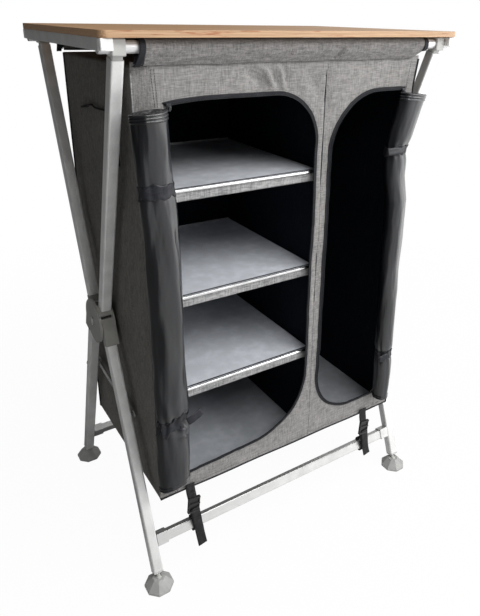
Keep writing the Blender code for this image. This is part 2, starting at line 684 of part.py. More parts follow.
def locking_brace(side, pivot, pin):
    """A flat bar with an eye at its pivot and a hook, open below, over the other leg's pin."""
    reach = pin - pivot
    length = reach.length
    clear = bore_radius(BRACE_PIN_RADIUS) + FIT
    low = -BRACE_HEAD_HALF_HEIGHT
    front = length + clear + BRACE_HALF_HEIGHT
    outline = arc((0, 0), BRACE_EYE_RADIUS, 40, 320, 10)
    outline += [(length - 4 * BRACE_HEAD_HALF_HEIGHT, -BRACE_HALF_HEIGHT)]
    outline += [(length - clear - BRACE_HOOK_RELIEF - BRACE_HALF_HEIGHT, low),
                (length - clear - BRACE_HOOK_RELIEF - 0.001, low)]
    outline += arc((length, 0), clear, 180, 0, 8)
    outline += [(length + clear, low), (front, low), (front, BRACE_HALF_HEIGHT / 2)]
    outline += [(front - BRACE_HALF_HEIGHT / 2, BRACE_HEAD_HALF_HEIGHT),
                (length - BRACE_HALF_HEIGHT, BRACE_HEAD_HALF_HEIGHT),
                (length - 4 * BRACE_HEAD_HALF_HEIGHT, BRACE_HALF_HEIGHT)]
    hole = arc((0, 0), clear, 0, 360 - 360 / ROUND_SIDES, ROUND_SIDES - 1)
    across = reach.normalized()
    up = Vector((-across.y, across.x))
    if up.y < 0:
        up = -up

    def seat(points):
        return [tuple(pivot + across * u + up * v) for u, v in points]

    near = side * (LEG_INNER_X - 2 * FIT)
    far = side * (LEG_INNER_X - 2 * FIT - BRACE_THICKNESS)
    return slab((seat(outline), seat(hole)), "X", near, far)


def scissor_frame(frame_name, upper_sign, carrier, feet):
    """One of the two crossed frames: its legs, hubs, connectors, rails, sleeve, straps and foot stems."""
    is_outer = upper_sign < 0
    upper_place = "front" if upper_sign < 0 else "rear"
    lower_place = "rear" if upper_sign < 0 else "front"
    upper = LegLine(upper_sign * UPPER_LEG_OFFSET, upper_sign * TOP_RAIL_Y, TOP_RAIL_Z)
    lower = LegLine(-upper_sign * LOWER_LEG_OFFSET, -upper_sign * FOOT_Y, BALL_HEIGHT)
    half = LEG_SIZE / 2
    top_z = TOP_RAIL_Z - CONNECTOR_SIZE / 2 - FIT - half * abs(upper.direction.y)
    upper_end = (top_z - PIVOT_HEIGHT) / upper.direction.z
    lower_end = lower.length - NECK_LENGTH - STEM_CAP_LENGTH - FIT
    pivot, pin = brace_points(-1)
    edge_y = BOX_BACK_Y - FABRIC / 2 if is_outer else BOX_FRONT_Y + FABRIC / 2
    for name, side in SIDES.items():
        x = side * LEG_PLANE_X
        leg = upper.tube(UPPER_BLOCK_END + FIT, upper_end, x)
        finish(leg, upper_place + "_upper_leg_" + name, ALUMINIUM, carrier)
        studs = brace_stud(side, pivot if is_outer else pin, is_outer)
        leg = smooth(fuse(lower.tube(LOWER_BLOCK_END + FIT, lower_end, x), *studs))
        finish(leg, lower_place + "_lower_leg_" + name, ALUMINIUM, carrier)
        hub_name = ("outer" if is_outer else "inner") + "_hub_" + name
        finish(hub(side, is_outer, upper, lower), hub_name, DARK_PLASTIC, carrier)
        finish(leg_connector(side, upper, upper_end), f"{upper_place}_leg_connector_{name}", GREY_PLASTIC, carrier)
        finish(foot_stem(side, lower), f"{lower_place}_foot_stem_{name}", GREY_PLASTIC, carrier)
        strap = tension_strap(-upper_sign, side, edge_y)
        finish(strap, f"{lower_place}_strap_{name}", WEBBING, carrier)
        foot_name = lower_place + "_foot_" + name
        finish(swivel_foot(side, lower), foot_name, GREY_PLASTIC, feet[foot_name])
    rail_end = SIDE_RAIL_INNER_X + SIDE_RAIL_WIDTH - SIDE_RAIL_WALL - RUNNING_FIT
    rail_y = upper_sign * TOP_RAIL_Y
    top_rail = cylinder((-rail_end, rail_y, TOP_RAIL_Z), (rail_end, rail_y, TOP_RAIL_Z), TOP_RAIL_RADIUS)
    finish(smooth(top_rail), upper_place + "_top_rail", ALUMINIUM, carrier)
    finish(bottom_rail(-upper_sign), lower_place + "_bottom_rail", ALUMINIUM, carrier)
    tail_y = BOX_FRONT_Y + FABRIC / 2 if is_outer else BOX_BACK_Y - FABRIC / 2
    finish(rail_sleeve(rail_y, tail_y), upper_place + "_rail_sleeve", GREY_FABRIC, carrier)
    return pivot, pin


def hub_rivets(carrier):
    """One rivet on each side through both hubs."""
    for name, side in SIDES.items():
        inner = LEG_INNER_X - HUB_PLATE_GAP - HUB_PLATE - FIT
        outer = LEG_OUTER_X + HUB_PLATE_GAP + HUB_PLATE + FIT

        def at(x):
            return (side * x, 0, PIVOT_HEIGHT)

        shank = cylinder(at(inner - RIVET_HEAD_HEIGHT / 2), at(outer + RIVET_HEAD_HEIGHT / 2), RIVET_RADIUS)
        heads = [cylinder(at(inner), at(inner - RIVET_HEAD_HEIGHT), RIVET_HEAD_RADIUS),
                 cylinder(at(outer), at(outer + RIVET_HEAD_HEIGHT), RIVET_HEAD_RADIUS)]
        finish(smooth(fuse(shank, *heads)), "hub_rivet_" + name, STEEL, carrier)


def door_outline(left, right, hinge_on_left, top_radius, bottom_radius):
    """The outline of a door opening, tight at its hinge side and round at its zip side."""
    if hinge_on_left:
        radii = (DOOR_HINGE_RADIUS, bottom_radius, top_radius, DOOR_HINGE_RADIUS)
    else:
        radii = (bottom_radius, DOOR_HINGE_RADIUS, DOOR_HINGE_RADIUS, top_radius)
    return rounded_rectangle((left, DOOR_BOTTOM_Z), (right, DOOR_TOP_Z), radii, 8)


def slack(height):
    """How far the slack right wall is drawn in at a height."""
    if height <= SLACK_Z:
        return SLACK_PULL * max(0.0, (height - SLACK_START_Z) / (SLACK_Z - SLACK_START_Z))
    return SLACK_PULL + (SLACK_TOP_PULL - SLACK_PULL) * (height - SLACK_Z) / (BOX_TOP_Z - SLACK_Z)


def wall_line(side, inset):
    """The line of a side wall from bottom to top, as seen from the front."""
    x = side * (BOX_HALF_WIDTH - inset)
    if side < 0:
        return [(x, BOX_BOTTOM_Z), (x, BOX_TOP_Z)]
    heights = (BOX_BOTTOM_Z, SLACK_START_Z, SLACK_Z, BOX_TOP_Z)
    return [(x - slack(height), height) for height in heights]


def fabric_box(carrier):
    """The six fabric walls of the cupboard and the divider between its two compartments."""
    left_door = door_outline(LEFT_DOOR_LEFT_X, LEFT_DOOR_RIGHT_X, True,
                             LEFT_DOOR_TOP_RADIUS, LEFT_DOOR_BOTTOM_RADIUS)
    right_door = door_outline(RIGHT_DOOR_LEFT_X, RIGHT_DOOR_RIGHT_X, False,
                              RIGHT_DOOR_TOP_RADIUS, RIGHT_DOOR_BOTTOM_RADIUS)
    half = BOX_HALF_WIDTH
    outline = wall_line(1, 0) + wall_line(-1, 0)[::-1]
    inner_front = BOX_FRONT_Y + FABRIC
    inner_back = BOX_BACK_Y - FABRIC
    front = slab((outline, left_door, right_door), "Y", BOX_FRONT_Y, inner_front)
    finish(front, "front_panel", GREY_FABRIC, carrier)
    back = slab((outline,), "Y", inner_back, BOX_BACK_Y)
    finish(back, "back_panel", DARK_FABRIC, carrier)
    low_y = inner_front + FIT
    high_y = inner_back - FIT
    for name, side in SIDES.items():
        profile = wall_line(side, 0) + wall_line(side, FABRIC)[::-1]
        panel = slab((profile,), "Y", low_y, high_y)
        finish(panel, "side_panel_" + name, DARK_FABRIC, carrier)
    inner_x = half - FABRIC - FIT
    floor = block((-inner_x, low_y, BOX_BOTTOM_Z), (inner_x, high_y, BOX_BOTTOM_Z + FLOOR_THICKNESS))
    finish(floor, "floor_panel", SHELF_BOARD, carrier)
    roof_end = inner_x - slack(BOX_TOP_Z - FABRIC)
    roof = block((-inner_x, low_y, BOX_TOP_Z - FABRIC), (roof_end, high_y, BOX_TOP_Z))
    finish(roof, "roof_panel", DARK_FABRIC, carrier)
    divider = block((DIVIDER_X - FABRIC / 2, low_y, BOX_BOTTOM_Z + FLOOR_THICKNESS + FIT),
                    (DIVIDER_X + FABRIC / 2, high_y, BOX_TOP_Z - FABRIC - FIT))
    finish(divider, "divider", DARK_FABRIC, carrier)


def loft(sections):
    """A closed solid through rings of points, with flat ends."""
    mesh = bmesh.new()
    rings = [[mesh.verts.new(point) for point in section] for section in sections]
    for lower, upper in zip(rings, rings[1:]):
        for step in range(len(lower)):
            after = (step + 1) % len(lower)
            mesh.faces.new((lower[step], lower[after], upper[after], upper[step]))
    mesh.faces.new(list(reversed(rings[0])))
    mesh.faces.new(rings[-1])
    data = bpy.data.meshes.new("loft")
    mesh.to_mesh(data)
    mesh.free()
    made = bpy.data.objects.new("loft", data)
    bpy.context.scene.collection.objects.link(made)
    return made


ROLL_SIDES = 12


def roll_half_width(top_half_width, bottom_half_width, height):
    """A roll's half width at a height, between the ones at its two ends."""
    share = (height - ROLL_BOTTOM_Z) / (ROLL_TOP_Z - ROLL_BOTTOM_Z)
    return bottom_half_width + (top_half_width - bottom_half_width) * share


def roll_outer_x(side, height):
    """A roll's outer edge: both flare out towards the top, and the right one hangs inside the slack wall."""
    if side < 0:
        flare = min(1.0, max(0.0, (height - ROLL_TOP_Z + LEFT_FLARE_DROP) / LEFT_FLARE_DROP))
        return ROLL_OUTER_X + flare * LEFT_ROLL_FLARE
    flare = min(1.0, max(0.0, (height - TIE_UPPER_Z) / (ROLL_TOP_Z - TIE_UPPER_Z)))
    return BOX_HALF_WIDTH - slack(height) - RIGHT_ROLL_INSET + flare * RIGHT_ROLL_FLARE


def ellipse(centre, half_x, half_y, count):
    """Points of an ellipse, in order."""
    turn = 2 * math.pi / count
    return [(centre[0] + half_x * math.cos(turn * step), centre[1] + half_y * math.sin(turn * step))
            for step in range(count)]


def rolled_door(side, top_half_width, bottom_half_width, name, carrier):
    """A door rolled up at the side of its opening, drawn in where its two ties hold it."""
    centre_y = BOX_FRONT_Y - FIT - ROLL_HALF_DEPTH * ROLL_ROUNDING
    swell = 2.5 * TIE_WIDTH
    tie_levels = (TIE_LOWER_Z, TIE_UPPER_Z)
    levels = [(ROLL_BOTTOM_Z, -ROLL_TIE_SHRINK), (ROLL_BOTTOM_Z + TIE_WIDTH, 0.0)]
    for level in tie_levels:
        levels += [(level - swell, 0.0), (level - TIE_WIDTH, -ROLL_TIE_SHRINK),
                   (level + TIE_WIDTH, -ROLL_TIE_SHRINK), (level + swell, 0.0)]
        if level == TIE_LOWER_Z:
            levels.append(((TIE_LOWER_Z + TIE_UPPER_Z) / 2, 0.0))
    levels += [(ROLL_TOP_Z - TIE_WIDTH, 0.0), (ROLL_TOP_Z, -ROLL_TIE_SHRINK)]
    sections = []
    for height, change in levels:
        half_width = roll_half_width(top_half_width, bottom_half_width, height)
        centre = (side * (roll_outer_x(side, height) - half_width), centre_y)
        ring = ellipse(centre, half_width + change, ROLL_HALF_DEPTH + change, ROLL_SIDES)
        sections.append([(x, y, height) for x, y in ring])
    roll = loft(sections)
    rounding = roll.modifiers.new("rounding", "SUBSURF")
    rounding.levels = 1
    rounding.render_levels = 1
    finish(smooth(roll, math.radians(60)), "door_roll_" + name, ROLL_FABRIC, carrier)


def shelf(number, height, carrier):
    """A stiff shelf with a fabric band below its front edge, and a steel rod along that edge."""
    low_x = -(BOX_HALF_WIDTH - FABRIC - RUNNING_FIT)
    high_x = DIVIDER_X - FABRIC / 2 - RUNNING_FIT
    rod = SHELF_ROD_RADIUS
    board_front_y = SHELF_FRONT_Y + 2 * rod + FIT
    board = block((low_x, board_front_y, height - SHELF_THICKNESS), (high_x, SHELF_BACK_Y, height))
    band = block((low_x, board_front_y, height - 2 * rod - SHELF_BAND_HEIGHT),
                 (high_x, board_front_y + SHELF_BAND_THICKNESS, height - SHELF_THICKNESS / 2))
    finish(fuse(board, band), f"shelf_{number}", SHELF_BOARD, carrier)
    centre_y = SHELF_FRONT_Y + rod
    front_rod = cylinder((low_x, centre_y, height - rod), (high_x, centre_y, height - rod), rod, 12)
    finish(smooth(front_rod), f"shelf_{number}_rod", STEEL, carrier)


def main():
    root = joint_point("cupboard", (0, 0, 0))
    top = joint_point("table_top_slide", (0, 0, SIDE_RAIL_TOP_Z))
    frame_a = joint_point("front_top_frame_axis", (0, 0, PIVOT_HEIGHT))
    frame_b = joint_point("rear_top_frame_axis", (0, 0, PIVOT_HEIGHT))
    feet = {}
    for place, sign in (("front", -1), ("rear", 1)):
        for name, side in SIDES.items():
            foot_name = f"{place}_foot_{name}"
            feet[foot_name] = joint_point(foot_name + "_ball", (side * LEG_PLANE_X, sign * FOOT_Y, BALL_HEIGHT))
    table_top(top)
    pivot, pin = scissor_frame("a", -1, frame_a, feet)
    scissor_frame("b", 1, frame_b, feet)
    for name, side in SIDES.items():
        axis = joint_point("brace_axis_" + name, (side * LEG_INNER_X, pivot.x, pivot.y))
        finish(locking_brace(side, pivot, pin), "locking_brace_" + name, ALUMINIUM, axis)
    hub_rivets(root)
    fabric_box(root)
    rolled_door(-1, LEFT_ROLL_TOP_HALF_WIDTH, LEFT_ROLL_BOTTOM_HALF_WIDTH, "left", root)
    rolled_door(1, RIGHT_ROLL_TOP_HALF_WIDTH, RIGHT_ROLL_BOTTOM_HALF_WIDTH, "right", root)
    for number, share in enumerate(SHELF_SHARES, 1):
        height = BOX_BOTTOM_Z + share * (BOX_TOP_Z - BOX_BOTTOM_Z)
        axis = joint_point(f"shelf_{number}_axis", (0, SHELF_AXIS_Y, height - SHELF_THICKNESS / 2))
        shelf(number, height, axis)
    bpy.context.view_layer.update()


main()
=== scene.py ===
# %% [markdown]
# # A folding camping cupboard
#
# The cupboard is a cloth box with shelves, hung in two crossed aluminium frames under a bamboo table top. The
# rigid pieces come ready-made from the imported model. This lesson dresses them: it gives every surface a finish
# that is computed from nodes, and it builds the cloth, which solid modelling can only stand in for.

# %% Load the frame
import math

import bpy
import bmesh
from mathutils import Matrix, Vector, noise


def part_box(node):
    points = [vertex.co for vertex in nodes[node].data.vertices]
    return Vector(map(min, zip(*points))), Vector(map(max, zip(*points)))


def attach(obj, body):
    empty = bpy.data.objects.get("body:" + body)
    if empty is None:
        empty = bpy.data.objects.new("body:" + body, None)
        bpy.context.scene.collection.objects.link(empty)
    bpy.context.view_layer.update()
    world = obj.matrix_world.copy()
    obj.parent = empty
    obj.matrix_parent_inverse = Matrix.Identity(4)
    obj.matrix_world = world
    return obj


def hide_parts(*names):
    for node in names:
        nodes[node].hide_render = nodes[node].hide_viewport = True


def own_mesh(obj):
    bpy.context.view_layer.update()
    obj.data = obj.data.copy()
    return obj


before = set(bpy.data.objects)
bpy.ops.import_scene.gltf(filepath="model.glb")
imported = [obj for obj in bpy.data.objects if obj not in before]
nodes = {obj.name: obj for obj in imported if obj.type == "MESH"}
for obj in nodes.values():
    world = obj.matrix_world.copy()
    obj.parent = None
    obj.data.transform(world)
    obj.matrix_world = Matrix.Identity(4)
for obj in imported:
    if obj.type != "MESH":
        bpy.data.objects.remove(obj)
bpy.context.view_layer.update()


def put(name, data):
    """Make an object from its data and put it in the scene."""
    made = bpy.data.objects.new(name, data)
    bpy.context.scene.collection.objects.link(made)
    return made


# %% [markdown]
# ## Camera
#
# The photo was taken from the front left, a little above the table top. The camera's place, turn and lens were
# worked out from corners whose positions on the cupboard are known. The small shift moves the picture within
# the frame without turning the camera, so upright lines keep their direction.

# %% Camera
camera_data = bpy.data.cameras.new("photo_camera")
camera = put("photo_camera", camera_data)
bpy.context.scene.camera = camera
camera.location = (-0.6198, -1.0326, 1.0609)
camera.rotation_euler = [math.radians(angle) for angle in (67.822, -1.083, -33.284)]
camera_data.sensor_fit = "VERTICAL"
camera_data.sensor_height = 36.0
camera_data.lens = 34.27
camera_data.shift_x = -0.0435
camera_data.shift_y = -0.0860
camera_data.clip_start = 0.05
print("camera lens", round(camera_data.lens, 1), "mm")

# %% [markdown]
# ## Node helpers
#
# Every finish below is a small tree of shader nodes. One helper adds a node and fills its inputs, so that each
# material reads as a short list of steps: an input that is given a socket is linked, any other value is set. The
# others name the steps that come back in several finishes.

# %% Build nodes in one line each
def add(tree, kind, inputs=None, **settings):
    """Add one node, set its options, and link or fill its inputs."""
    made = tree.nodes.new(kind)
    for name, value in settings.items():
        setattr(made, name, value)
    for name, value in (inputs or {}).items():
        if isinstance(value, bpy.types.NodeSocket):
            tree.links.new(value, made.inputs[name])
        else:
            made.inputs[name].default_value = value
    return made


def new_finish(name, **surface):
    """A material with one surface shader, whose fixed values are given by name."""
    finish = bpy.data.materials.new(name)
    finish.use_nodes = True
    tree = finish.node_tree
    shader = tree.nodes["Principled BSDF"]
    for key, value in surface.items():
        shader.inputs[key.replace("_", " ")].default_value = value
    place = tree.nodes.new("ShaderNodeTexCoord").outputs["Object"]
    return finish, tree, shader, place


def stretched(tree, place, scale, detail=2.0, offset=(0, 0, 0)):
    """Noise whose grains are drawn out: scale is in grains per metre along X, Y and Z."""
    moved = add(tree, "ShaderNodeMapping", {"Vector": place, "Scale": scale, "Location": offset})
    noise_inputs = {"Vector": moved.outputs["Vector"], "Scale": 1.0, "Detail": detail}
    return add(tree, "ShaderNodeTexNoise", noise_inputs).outputs["Fac"]


def maths(tree, operation, first, second=0.5):
    """One arithmetic step on two numbers."""
    return add(tree, "ShaderNodeMath", {0: first, 1: second}, operation=operation).outputs[0]


def weighed(tree, first, second, share=0.5):
    """The mean of two numbers; share is the first one's weight."""
    rest = maths(tree, "MULTIPLY", second, 1 - share)
    return maths(tree, "ADD", maths(tree, "MULTIPLY", first, share), rest)


def towards(tree, vector, direction):
    """How far a vector reaches in a direction."""
    reach = add(tree, "ShaderNodeVectorMath", {0: vector, 1: direction}, operation="DOT_PRODUCT")
    return reach.outputs["Value"]


def remap(tree, value, from_low, from_high, low=0.0, high=1.0):
    """Spread the range from_low to from_high over low to high."""
    return add(tree, "ShaderNodeMapRange", {"Value": value, "From Min": from_low, "From Max": from_high,
                                            "To Min": low, "To Max": high}).outputs["Result"]


def between(tree, value, low, high):
    """Spread a noise's usual middle range over low to high."""
    return remap(tree, value, 0.3, 0.7, low, high)


def ramp(tree, value, *stops):
    """Colours between numbers: each stop is (place, colour)."""
    made = add(tree, "ShaderNodeValToRGB", {"Fac": value})
    line = made.color_ramp
    while len(line.elements) < len(stops):
        line.elements.new(0.5)
    for element, (spot, colour) in zip(line.elements, stops):
        element.position = spot
        element.color = (*colour, 1.0)
    return made.outputs["Color"]


def blend_colours(tree, share, first, second, mode="MIX"):
    """Mix two colours by a share, or multiply the second into the first."""
    made = add(tree, "ShaderNodeMix", data_type="RGBA", blend_type=mode)
    for socket, value in ((made.inputs[0], share), (made.inputs[6], first), (made.inputs[7], second)):
        if isinstance(value, bpy.types.NodeSocket):
            tree.links.new(value, socket)
        else:
            socket.default_value = (*value, 1.0) if isinstance(value, tuple) else value
    return made.outputs[2]


def tinted(tree, first, second):
    """One colour multiplied by another."""
    return blend_colours(tree, 1.0, first, second, "MULTIPLY")


def bumped(tree, shader, height, distance):
    """Raise the surface by a height pattern; distance is the relief in metres."""
    relief = add(tree, "ShaderNodeBump", {"Height": height, "Distance": distance, "Strength": 1.0})
    tree.links.new(relief.outputs["Normal"], shader.inputs["Normal"])


def colour_and_gloss(tree, shader, colour, roughness=None):
    """Link a computed colour, and a computed roughness if there is one, to the shader."""
    tree.links.new(colour, shader.inputs["Base Color"])
    if roughness is not None:
        tree.links.new(roughness, shader.inputs["Roughness"])


# %% [markdown]
# ## Floor and light
#
# The photo is a cut-out on pure white, with soft light from the front right and the left flank in shade. A pale
# floor and a white world show white to the camera. In reflections both are brightest towards a window on the
# right, and the floor close to the cupboard is dark there. The object itself is lit by a dimmer world and four
# soft lamps, so that no pale surface burns out, and a dark card keeps light off the left flank.

# %% Floor
floor_mesh = bpy.data.meshes.new("studio_floor")
floor_mesh.from_pydata([(-6, -6, 0), (6, -6, 0), (6, 6, 0), (-6, 6, 0)], [], [(0, 1, 2, 3)])
studio_floor = put("studio_floor", floor_mesh)
window_side = (0.93, -0.36, 0.08)
front_side = (-0.2, -0.98, 0)
pale = (0.86, 0.86, 0.86, 1)
floor_finish, tree, shader, place = new_finish("studio_floor", Base_Color=pale, Roughness=0.9)
seen = add(tree, "ShaderNodeLightPath").outputs
away = add(tree, "ShaderNodeVectorMath", {0: place}, operation="LENGTH").outputs["Value"]
around = add(tree, "ShaderNodeVectorMath", {0: place}, operation="NORMALIZE").outputs["Vector"]
lit_side = remap(tree, towards(tree, place, window_side), -0.35, 0.25, 0.16, 1.0)
# Close to the cupboard and behind it the floor is dark in reflections: a painted shadow under the cupboard.
open_floor = remap(tree, towards(tree, place, front_side), 0.10, 0.24, 0.2, 1.0)
not_close = maths(tree, "MAXIMUM", open_floor, remap(tree, away, 0.4, 0.8))
below_window = remap(tree, towards(tree, around, window_side), 0.84, 0.98, 0.0, 1.3)
far_patch = maths(tree, "MULTIPLY", below_window, remap(tree, away, 0.6, 1.8))
mirrored_floor = maths(tree, "ADD", maths(tree, "MULTIPLY", lit_side, not_close), far_patch)
strength = add(tree, "ShaderNodeMix", {0: seen["Is Camera Ray"], 2: mirrored_floor, 3: 1.0},
               data_type="FLOAT")
plain = add(tree, "ShaderNodeEmission", {"Color": (1, 1, 1, 1), "Strength": strength.outputs[0]})
seen_or_mirrored = maths(tree, "MAXIMUM", seen["Is Camera Ray"], seen["Is Glossy Ray"])
own_light = maths(tree, "MULTIPLY", seen_or_mirrored, remap(tree, away, 0.6, 2.0, 0.965, 1.0))
both = add(tree, "ShaderNodeMixShader", {0: own_light, 1: shader.outputs[0], 2: plain.outputs[0]})
tree.links.new(both.outputs[0], tree.nodes["Material Output"].inputs["Surface"])
floor_mesh.materials.append(floor_finish)

# %% World
world = bpy.data.worlds.new("studio")
bpy.context.scene.world = world
world.use_nodes = True
sky = world.node_tree
background = sky.nodes["Background"]
background.inputs["Color"].default_value = (1, 1, 1, 1)
dim_light = 0.24
path = add(sky, "ShaderNodeLightPath").outputs
direct = maths(sky, "MAXIMUM", path["Is Camera Ray"], path["Is Transmission Ray"])
to_window = towards(sky, add(sky, "ShaderNodeTexCoord").outputs["Generated"], window_side)
wide_glow = remap(sky, to_window, 0.10, 0.78, -0.16, 0.90)
bright_core = remap(sky, to_window, 0.84, 0.98, 0.0, 1.3)
mirrored = maths(sky, "MULTIPLY", path["Is Glossy Ray"], maths(sky, "ADD", wide_glow, bright_core))
shown = maths(sky, "ADD", maths(sky, "MULTIPLY", direct, 1 - dim_light), mirrored)
sky.links.new(maths(sky, "ADD", shown, dim_light), background.inputs["Strength"])
bpy.context.scene.view_settings.view_transform = "Standard"

# %% Lamps
def soft_lamp(name, place, target, size, power, mirrored=True):
    """A square lamp that faces a point, seen in reflections or not."""
    lamp = bpy.data.lights.new(name, "AREA")
    lamp.size = size
    lamp.energy = power
    holder = put(name, lamp)
    holder.location = place
    holder.rotation_euler = (Vector(target) - Vector(place)).to_track_quat("-Z", "Y").to_euler()
    holder.visible_glossy = mirrored


dark_card = put("left_dark_card", bpy.data.meshes.new("left_dark_card"))
card_corners = [(-1.25, y, z) for y, z in ((-0.45, 0.55), (2.2, 0.55), (2.2, 1.9), (-0.45, 1.9))]
dark_card.data.from_pydata(card_corners, [], [(0, 1, 2, 3)])
card_black = new_finish("card_black", Base_Color=(0.02, 0.02, 0.02, 1), Roughness=1.0)[0]
dark_card.data.materials.append(card_black)
dark_card.visible_camera = False
soft_lamp("front_right_softbox", (1.7, -1.9, 1.9), (0, 0, 0.6), 1.4, 40)
soft_lamp("overhead", (0.2, -0.5, 3.0), (0, 0, 0.8), 1.8, 20)
soft_lamp("upper_front", (0.0, -1.7, 2.5), (0, 0, 0.5), 1.1, 25)
soft_lamp("low_front", (0.95, -2.45, 1.30), (0, 0, 0.6), 0.5, 10, False)

# %% [markdown]
# ## Finishes for the rigid pieces
#
# The table top is laminated bamboo: narrow strips side by side, joined end to end, each with its own tone and a
# fine grain along it. A brick pattern gives the strips, and noise drawn out along X gives the grain. The cut
# front edge shows darker reddish fibre bundles.

# %% Bamboo
lacquer = {"Coat_Weight": 0.12, "Coat_Roughness": 0.25}
bamboo, tree, shader, place = new_finish("lacquered_bamboo", Roughness=0.42, **lacquer)
strips = add(tree, "ShaderNodeTexBrick",
             {"Vector": place, "Color1": (0.50, 0.325, 0.185, 1), "Color2": (0.415, 0.255, 0.135, 1),
              "Mortar": (0.30, 0.165, 0.08, 1), "Scale": 1.0, "Mortar Size": 0.0005, "Bias": 0.1,
              "Brick Width": 0.31, "Row Height": 0.0155}, offset=0.37, offset_frequency=2)
grain = stretched(tree, place, (9, 520, 520), 3.0)
fibre = ramp(tree, grain, (0.32, (0.72, 0.62, 0.52)), (0.60, (1.06, 1.04, 1.02)))
flecks = stretched(tree, place, (26, 300, 300), 2.0, (3, 1, 0))
fleck_tone = ramp(tree, flecks, (0.60, (1, 1, 1)), (0.72, (0.70, 0.46, 0.34)))
facing = add(tree, "ShaderNodeNewGeometry").outputs["Normal"]
upright = add(tree, "ShaderNodeSeparateXYZ", {"Vector": facing}).outputs["Z"]
on_edge = remap(tree, maths(tree, "ABSOLUTE", upright), 0.8, 0.3)
edge_colour = tinted(tree, tinted(tree, (0.50, 0.33, 0.20), fibre), fleck_tone)
board_colour = blend_colours(tree, on_edge, tinted(tree, strips.outputs["Color"], fibre), edge_colour)
colour_and_gloss(tree, shader, board_colour, between(tree, grain, 0.34, 0.52))
bumped(tree, shader, maths(tree, "MULTIPLY", grain, 0.5), 0.00012)

# %% [markdown]
# The frame tubes are satin anodised aluminium. Extruded tube carries faint lines along its length and a slightly
# uneven dull coat, so roughness varies more than colour.

# %% Aluminium
def metal_finish(name, colour, roughness, metallic, line_scale):
    """Anodised metal: drawn lines, a cloudy coat and small rubbed spots."""
    finish, tree, shader, place = new_finish(name, Metallic=metallic, Roughness=roughness)
    lines = stretched(tree, place, line_scale, 2.0)
    clouds = stretched(tree, place, (34, 34, 34), 4.0, (5, 2, 7))
    cloudy_tone = ramp(tree, clouds, (0.35, tuple(0.90 * c for c in colour)), (0.65, colour))
    line_tone = ramp(tree, lines, (0.3, (0.93, 0.93, 0.93)), (0.7, (1.0, 1.0, 1.0)))
    line_gloss = between(tree, lines, roughness - 0.03, roughness + 0.04)
    uneven = maths(tree, "ADD", between(tree, clouds, -0.06, 0.06), line_gloss)
    colour_and_gloss(tree, shader, tinted(tree, cloudy_tone, line_tone), uneven)
    bumped(tree, shader, lines, 0.00003)
    return finish


aluminium = metal_finish("satin_anodised_aluminium", (0.90, 0.90, 0.89), 0.42, 0.52, (900, 900, 12))
rail_metal = metal_finish("satin_rail_tube", (0.86, 0.86, 0.86), 0.40, 0.40, (10, 900, 900))
low_rail_metal = metal_finish("satin_low_rail", (0.84, 0.84, 0.83), 0.34, 0.88, (10, 900, 900))
steel = metal_finish("bright_plated_steel", (0.82, 0.82, 0.82), 0.20, 1.0, (16, 700, 700))
rear_rod_steel = metal_finish("dull_plated_steel", (0.78, 0.79, 0.80), 0.45, 0.35, (16, 700, 700))

# %% [markdown]
# Moulded plastic is never quite flat: it has a fine spark-eroded grain, and dust and rubbing lighten it in
# patches. One function makes the hub, socket, cap and buckle plastics, which differ in colour and gloss, and the
# smoother laminates of the shelves and the floor.

# %% Moulded plastics
def moulded_plastic(name, colour, roughness, grain_height=0.00004):
    """Plastic with a fine moulded grain and faint lighter rubbing."""
    finish, tree, shader, place = new_finish(name, Roughness=roughness)
    grains = stretched(tree, place, (1500, 1500, 1500), 1.0)
    rubbed = stretched(tree, place, (45, 45, 45), 5.0, (2, 9, 4))
    lighter = tuple(min(1.0, c * 1.22 + 0.006) for c in colour)
    colour_and_gloss(tree, shader, ramp(tree, rubbed, (0.42, colour), (0.75, lighter)),
                     between(tree, rubbed, roughness - 0.05, roughness + 0.08))
    bumped(tree, shader, grains, grain_height)
    return finish


hub_plastic = moulded_plastic("hub_plastic", (0.25, 0.247, 0.23), 0.46)
grey_plastic = moulded_plastic("grey_socket_plastic", (0.47, 0.47, 0.455), 0.46)
foot_plastic = moulded_plastic("foot_plastic", (0.36, 0.36, 0.35), 0.40)
white_plastic = moulded_plastic("white_cap_plastic", (0.80, 0.80, 0.79), 0.32)
buckle_plastic = moulded_plastic("buckle_plastic", (0.012, 0.012, 0.013), 0.30)
shelf_laminate = moulded_plastic("shelf_laminate", (0.56, 0.58, 0.62), 0.40, 0.00001)
floor_laminate = moulded_plastic("floor_laminate", (0.34, 0.355, 0.38), 0.40, 0.00001)

# %% [markdown]
# ## Fabrics
#
# The box's front is a melange: light and dark yarns woven together, which shows as short dashes along both thread
# directions. Two noises, one drawn out along each direction, give the dashes at two sizes. The same recipe in
# darker tones gives the charcoal sides, the lining, the webbing and the threads. The doors' coated cloth shows no
# yarns: it has a fine pebbled coat whose gloss changes slowly.

